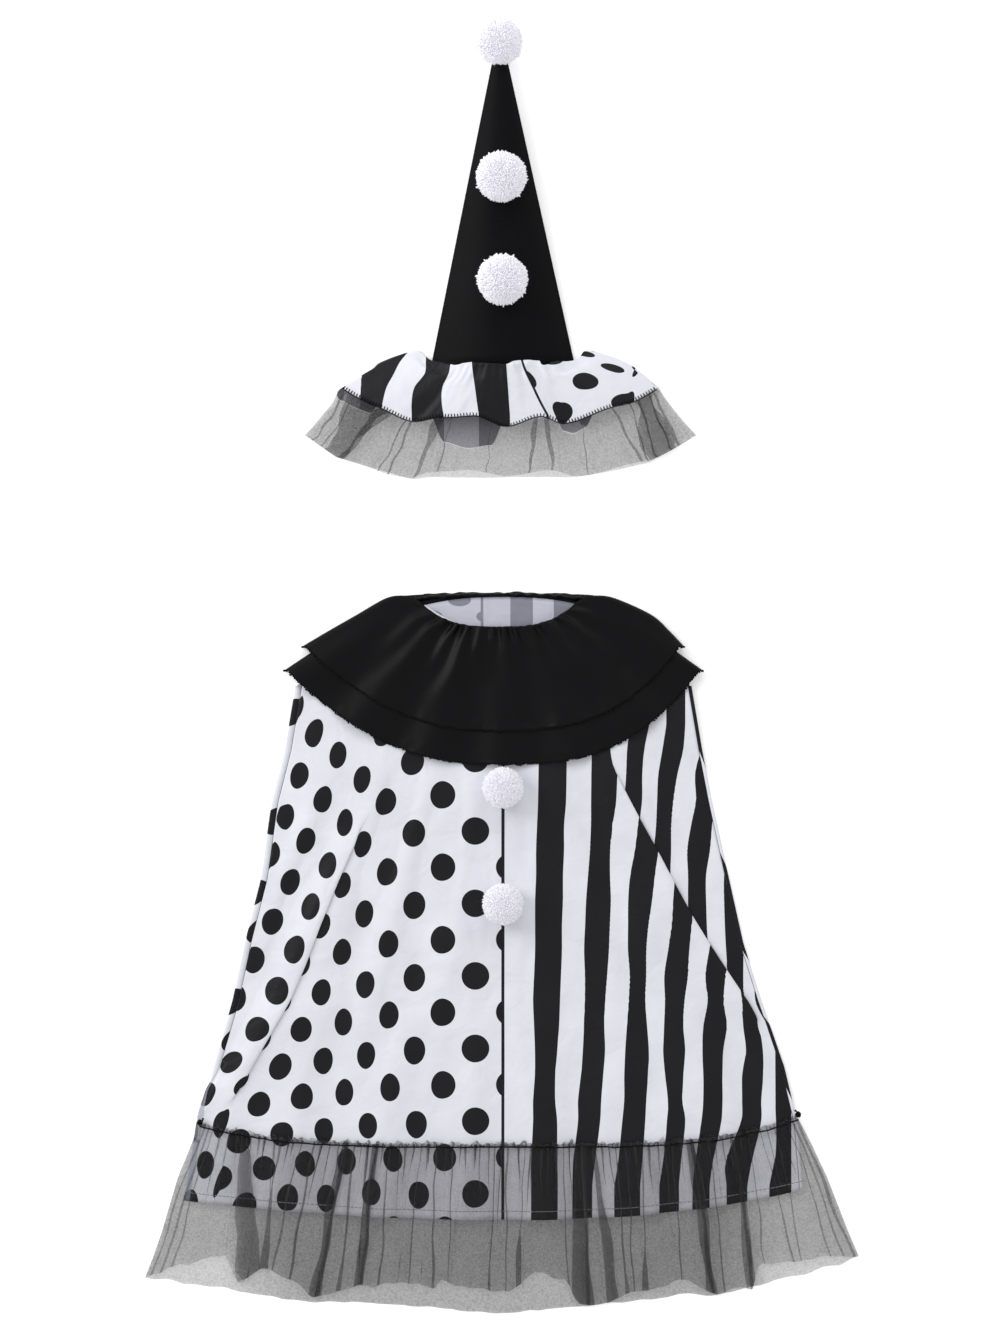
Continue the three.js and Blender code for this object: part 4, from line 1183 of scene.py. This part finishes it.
def hat_ring(table, rows, front_places, gathers, crumple):
    """The rows of the ruffle or of the net, each a loop folded flat."""
    grid = []
    on_ruffle = table is HAT_RUFFLE
    for t in steps(0, 1, rows):
        left, right, side, front_middle, back_middle, height, nose, power, wave = spread(table, t)
        waves = max(wave, 0)
        hem_share = smooth(t, 0.3, 1) if on_ruffle else 1 - smooth(t, 0, 0.5)

        def arc(middle, u):
            return side + (middle - side) * (1 - abs(u) ** power)

        def net_drop(x):
            return read_line(NET_DROP_ACROSS, NET_DROP, x) * t

        def front_half(u):
            lobe = read_lobes(HAT_LOBES, u)
            swell = waves * (1 - lobe) / 2
            gather = gathers * HAT_GATHERS["height"] * waved(HAT_GATHERS["count"], u)
            soft = crumple * (0.5 + ripple(u * 150, t * 22, 9, 2.5)) * smooth(t, 0, 0.2) * (1.3 - t)
            z = CLOTH / 2 + lens(u, height, nose, 2.2) + (swell + gather + max(soft, 0)) * (1 - u**4)
            x = lerp(left, right, (u + 1) / 2)
            if on_ruffle:
                drop = read_line(RUFFLE_TOP_ACROSS, RUFFLE_TOP_DROP, x)
                drop *= (1 - smooth(t, 0, 0.22)) * (1 - u**6)
            else:
                drop = net_drop(x)
            return arc(front_middle, u) + HAT_LOBE * waves / 6 * lobe + drop, z

        def back_half(u):
            x = lerp(left, right, (u + 1) / 2)
            drop = 0 if on_ruffle else 0.8 * net_drop(x)
            return arc(back_middle, u) + hem_share * read_lobes(BACK_LOBES, x) + drop, CLOTH / 2

        places = front_places(t, left, right)
        grid.append(folded_loop(left, right, front_half, back_half, places, 110, HAT_PLACE))
    return grid


# Where the print lies on the hat's ruffle: at each down, the distance across of each printed place
RUFFLE_PLACES = [217, 190, 165, 138, 113, 86, 61, 34, 0, -27, -61, -95, -129, -163, -190]
RUFFLE_ACROSS = [
    (-8, -172, -150, -128, -95, -77, -52, -31, 3, 17, 44, 84, 103, 133, 160, 180),
    (2, -172, -152, -133, -103, -77, -52, -31, 3, 18.5, 46, 83, 106, 136, 162, 180),
    (14, -174, -155, -141, -109, -78, -54, -30, 4, 23, 48, 82, 111, 140, 165, 182),
    (27, -176, -158, -142, -116, -88, -60, -28, 5, 29.5, 52, 82, 117, 145, 168, 184),
    (42, -178, -160, -143, -120, -91, -61, -26, 6, 37, 56, 84, 123, 150, 172, 188),
    (56, -178, -162, -145, -122, -91, -59, -24, 7, 45, 59, 88, 127, 154, 174, 190),
]
# How far down the cloth a place lies, by its distance across, at each of these downs
RUFFLE_DOWNS = [-12, -2, 8, 20, 32, 44, 56]
RUFFLE_ALONG = [
    (19, 226, 240, 254.6, 271, 288, 305, 322), (58, 215, 235, 250, 265, 280, 294, 308.6),
    (80, 172, 222, 248, 268.5, 287, 304, 321), (107, 150, 196, 241, 268, 288, 306, 323),
    (124, 150, 185, 225, 266, 291, 307.6, 324), (138, 210, 262, 288, 308, 322, 330, 338),
]
# How far below its plain top edge the ruffle's gathered top lies, by the distance across
RUFFLE_TOP_ACROSS = [-77, -64, -52, -49, -41, -31, -14, 3, 10, 17, 27, 37, 41, 48, 55, 64, 70, 77]
RUFFLE_TOP_DROP = [0, 1.5, 4.5, 6.5, 2.5, 1.5, 3, 4.5, 1, 0, -0.6, 0, 9.5, 1, -0.6, 0, -0.6, 0]


RUFFLE_COLUMNS = 150
# How far the print is shifted along on the ruffle's hidden half
HIDDEN_SHIFT = 20


def ruffle_cloth(grid):
    """The print's coordinates on the ruffle."""
    rows = []
    for row in grid:
        line = []
        for column, point in enumerate(row):
            x = point.x / MM - HAT_PLACE[0]
            down = HAT_PLACE[1] - point.y / MM
            u = read_line(read_curve(RUFFLE_ACROSS, down), RUFFLE_PLACES, x)
            v = read_line(RUFFLE_DOWNS, read_rows(RUFFLE_ALONG, x), down)
            line.append((u, v + HIDDEN_SHIFT if column > RUFFLE_COLUMNS else v))
        rows.append(line)
    return rows


def hat_frill():
    """The printed ruffle, and the line of its front hem for the sewing."""
    grid = hat_ring(HAT_RUFFLE, 46, lambda *_: even_places(RUFFLE_COLUMNS), 0, 2.4)
    # The ruffle has no stitched line, so its edge map lies far from one
    edge = [[(EDGE_START + point.x / MM, 100) for point in row] for row in grid]
    piece = lay_cloth("hat_frill", grid, ruffle_cloth(grid), [satin_face, satin_shaded],
                      "hat_ruffle", SATIN_THICKNESS, ring=True, edge=edge)
    return piece, grid[-1][: RUFFLE_COLUMNS + 1]


def hat_net():
    """The tulle round the ruffle's hem, with folds across its front half."""
    def net_places(t, left, right):
        places = folded_places(NET_FOLDS, t, left, right, 2.2)
        return [(across_share(x, left, right), lift * FOLD_LAYER) for x, lift in places]

    grid = hat_ring(HAT_TULLE, 36, net_places, 1, 0)
    return lay_cloth("hat_net", grid, along_rows(grid), [hat_tulle], "hat_tulle", ring=True)


cone_shell()
ruffle, hat_hem = hat_frill()
net = hat_net()

# Pompoms: radius, the share of it at which the underside is pressed flat, and places down
CAPE_POMPOM = {"radius": 21, "seat": 0.74, "downs": [190, 306]}
HAT_POMPOM = {"radius": 25.7, "seat": 0.74, "downs": [-178.6, -76.6]}
TIP_POMPOM = {"radius": 23.8, "down": -315.4, "x": -3.7}
# How near the table the lowest ends of yarn come
YARN_CLEAR = 0.3


def tuft_of_yarn():
    """Three thin ends of cut yarn that stand side by side and lean apart, in shares of the ball's radius."""
    bpy.ops.object.select_all(action="DESELECT")
    ends = []
    for number in range(3):
        bpy.ops.mesh.primitive_cone_add(
            vertices=3, radius1=0.026, radius2=0.03, depth=0.13, location=(0, 0, 0.045))
        end = bpy.context.object
        bpy.ops.object.mode_set(mode="EDIT")
        bpy.ops.mesh.select_all(action="DESELECT")
        bpy.ops.object.mode_set(mode="OBJECT")
        for polygon in end.data.polygons:
            polygon.select = polygon.normal.z > 0.9
        bpy.ops.object.mode_set(mode="EDIT")
        bpy.ops.mesh.extrude_region_move(TRANSFORM_OT_translate={"value": (0.012, 0.006, 0.045)})
        bpy.ops.transform.resize(value=(0.6, 0.6, 1))
        bpy.ops.object.mode_set(mode="OBJECT")
        around = 2 * math.pi * number / 3
        end.location += Vector((math.cos(around), math.sin(around), 0)) * 0.036
        end.rotation_euler = (-0.25 * math.sin(around), 0.25 * math.cos(around), around)
        end.scale.z = 1 + 0.12 * number
        ends.append(end)
    choose(*reversed(ends))
    bpy.ops.object.join()
    bpy.ops.object.transform_apply(location=True, rotation=True, scale=True)
    return bpy.context.object


def yarn_ball():
    """A ball of radius 1: one tuft of cut yarn, copied onto every face of a slightly uneven core."""
    tuft = tuft_of_yarn()
    bpy.ops.object.select_all(action="DESELECT")
    bpy.ops.mesh.primitive_ico_sphere_add(subdivisions=4, radius=0.84)
    core = bpy.context.object
    lumps = random.Random(11)
    for vertex in core.data.vertices:
        vertex.co *= 1 + 0.035 * noise.noise(vertex.co * 3) + lumps.uniform(-0.02, 0.02)
    tuft.parent = core
    core.instance_type = "FACES"
    choose(core)
    bpy.ops.object.duplicates_make_real()
    copies = [o for o in bpy.context.selected_objects if o not in (core, tuft)]
    core.instance_type = "NONE"
    for copy in copies:
        copy.data = copy.data.copy()
        spin = Matrix.Rotation(lumps.uniform(0, 6.3), 4, "Z")
        lean = Matrix.Rotation(lumps.uniform(-0.45, 0.45), 4, "X")
        size = Matrix.Diagonal((1, 1, lumps.uniform(0.75, 1.15) + 0.35 * (lumps.random() > 0.94), 1))
        copy.data.transform(copy.matrix_world @ spin @ lean @ size)
        copy.matrix_world = Matrix()
    choose(core, *copies)
    bpy.ops.object.join()
    bpy.data.objects.remove(tuft, do_unlink=True)
    core.name = "yarn_ball"
    return core


ball = yarn_ball()
# Only a few stray ends stand out past this share of the radius
reach = sorted(vertex.co.length for vertex in ball.data.vertices)[int(len(ball.data.vertices) * 0.97)]


def pompom(name, node, radius, centre, turn, seat_depth=math.inf):
    """A copy of the yarn ball at its size and place, pressed flat below its seat."""
    piece = bpy.data.objects.new(name, ball.data.copy())
    bpy.context.collection.objects.link(piece)
    piece.data.transform(Matrix.Rotation(turn, 4, (0.3, 0.7, 0.64)))
    for vertex in piece.data.vertices:
        spot = vertex.co * (radius / reach)
        spot.z = max(spot.z, -seat_depth)
        vertex.co = (spot + centre) * MM
        vertex.co.z = max(vertex.co.z, YARN_CLEAR * MM)
    dress(piece, name, pompom_yarn, node)


def sewn_pompom(garment, number, origin, x, down, surface, size, turn):
    """A pompom sewn to a surface, with its underside pressed flat on it."""
    seat_depth = size["radius"] * size["seat"]
    centre = Vector((origin[0] + x, origin[1] - down, surface + SEAM_GAP + seat_depth))
    pompom(f"{garment}_yarn_ball_{number}", f"{garment}_pompom_{number}", size["radius"], centre, turn,
           seat_depth)


for number, down in enumerate(CAPE_POMPOM["downs"], 1):
    surface = front_z(0, down - CAPE_POMPOM["radius"] / 3) + CLOTH / 2
    sewn_pompom("cape", number, CAPE_PLACE, 0, down, surface, CAPE_POMPOM, number * 1.1)
for number, down in enumerate(HAT_POMPOM["downs"], 1):
    x = CONE["lean"] * -down / CONE["length"]
    sewn_pompom("hat", number, HAT_PLACE, x, down, cone_z(down), HAT_POMPOM, number * 1.7)
tip = place(HAT_PLACE, TIP_POMPOM["x"], TIP_POMPOM["down"], TIP_POMPOM["radius"] + SEAM_GAP) / MM
pompom("tip_yarn_ball", "hat_pompom_tip", TIP_POMPOM["radius"], tip, 0.6)
bpy.data.objects.remove(ball, do_unlink=True)

# Sewing and edges
def thread(name, points, radius, finish_with=sewing_thread):
    """A round thread or tube through points in metres, its radius in millimetres."""
    line = bpy.data.curves.new(name, "CURVE")
    line.dimensions = "3D"
    line.bevel_depth = radius * MM
    line.bevel_resolution = 1
    line.use_fill_caps = True
    spline = line.splines.new("POLY")
    spline.points.add(len(points) - 1)
    for knot, point in zip(spline.points, points):
        knot.co = (*point, 1)
    piece = bpy.data.objects.new(name, line)
    bpy.context.collection.objects.link(piece)
    choose(piece)
    bpy.ops.object.convert(target="MESH")
    return dress(bpy.context.object, name, finish_with)


def stitches(name, spots, size):
    """One stitch of thread, copied to every spot. A spot is a place and a direction, and size is the
    stitch's length, width and height in millimetres."""
    bpy.ops.object.select_all(action="DESELECT")
    bpy.ops.mesh.primitive_uv_sphere_add(segments=6, ring_count=5, radius=0.5)
    stitch = bpy.context.object
    bpy.ops.object.mode_set(mode="EDIT")
    bpy.ops.mesh.select_all(action="SELECT")
    bpy.ops.transform.resize(value=[side * MM for side in size])
    bpy.ops.object.mode_set(mode="OBJECT")
    copies = []
    for at, direction in spots:
        copy = bpy.data.objects.new(name, stitch.data.copy())
        bpy.context.collection.objects.link(copy)
        turn = Vector((1, 0, 0)).rotation_difference(direction).to_matrix().to_4x4()
        copy.data.transform(Matrix.Translation(at) @ turn)
        copies.append(copy)
    bpy.data.objects.remove(stitch, do_unlink=True)
    choose(*copies)
    bpy.ops.object.join()
    return dress(bpy.context.object, name, sewing_thread)


def along_line(line, spacing):
    """Places every so many millimetres along a line, with the line's direction there."""
    found, left = [], 0
    for before, after in zip(line, line[1:]):
        length = (after - before).length / MM
        while left <= length:
            found.append((before.lerp(after, left / length), (after - before).normalized()))
            left += spacing
        left -= length
    return found


# The ruffle's hem: bars of overlock thread across it and one thread along them
UP = Vector((0, 0, 1))
bars = []
for at, direction in along_line(hat_hem, 3.1):
    across = direction.cross(UP).normalized()
    at = at - across * 1.6 * MM + UP * 0.75 * MM
    bars.append((at, (across + direction * dice.uniform(-0.3, 0.3)).normalized()))
overlock = stitches("hat_hem_overlock", bars, (4.2, 1.2, 0.8))
hem_points = [point + Vector((0, -0.6, 0.8)) * MM for point in hat_hem]
hat_line = thread("hat_hem_thread", hem_points, 0.45)


def picot(name, hem):
    """The rough merrowed edge of a collar tier."""
    beads = []
    for at, direction in along_line(hem, 2.7):
        lift = UP * (max(0.8 * MM - at.z, 0) + dice.uniform(-0.1, 0.3) * MM)
        out = direction.cross(UP) * dice.uniform(-0.5, 0.9) * MM
        turned = direction + Vector((dice.uniform(-0.8, 0.8), dice.uniform(-0.8, 0.8), 0))
        beads.append((at + lift + out, turned.normalized()))
    return stitches(name, beads, (3.4, 2.2, 1.3))


under_picot = picot("collar_under_edge", under_hem)
top_picot = picot("collar_top_edge", top_hem)

# The thread that gathers the tulle, which sinks and rises with the gathers, and a knot at each end
seam = []
for x in steps(-303, 295, 420):
    q = seam_place(x)
    down = across_curve(TULLE_SEAM, q) + 0.9 * ripple(x, 0, 9, 3.3)
    seam.append(place(CAPE_PLACE, x, down, tulle_front_z(x, down, q, 0) + 0.9 + 0.4 * ripple(x, 0, 6, 8.8)))
seam_thread = thread("tulle_seam_thread", seam, 0.75)
for number, (x, down) in enumerate([(-302.5, 524.5), (294.5, 516.5)], 1):
    knot = []
    for turn in steps(0, 2 * math.pi * 3, 48):
        swell = 1.6 + 0.5 * math.sin(turn * 1.7)
        z = 8.5 + 1.2 * math.sin(turn * 0.7 + 1)
        knot.append(place(CAPE_PLACE, x + swell * math.cos(turn), down + swell * math.sin(turn), z))
    tail = place(CAPE_PLACE, x + (3.5 if x < 0 else -3.5), down - 4.5, 9.2)
    thread(f"seam_knot_{number}", [*knot, tail], 1.1)

# The neck's casing in its front and back halves: places across, down at the middle, bluntness of the
# arc, unevenness with its length and seed, rise at the middle and the seed of its lumps
CASING = {"left": -88, "right": 79, "side_down": 2, "z": 7.2, "radius": 1.5}
CASING_HALVES = [
    (steps(-1, 1, 160), 31, 1, 0.8, 5, 1.1, 3.0, 2.2),
    (steps(1, -1, 160)[1:], -2.4, 0, 1.4, 7, 6.1, -1.2, 7.2),
]
binding = []
for places, middle, blunt, uneven, length, seed, rise, rise_seed in CASING_HALVES:
    for u in places:
        x = lerp(CASING["left"], CASING["right"], (u + 1) / 2)
        down = collar_arc(CASING["side_down"], middle, u, blunt) + uneven * ripple(u * 90, 0, length, seed)
        z = CASING["z"] + rise * (1 - u**6) + 0.5 * ripple(u * 90, 0, 4, rise_seed)
        binding.append(place(CAPE_PLACE, x, down, z))
neck_binding = thread("neck_elastic_casing", binding, CASING["radius"], collar_satin)
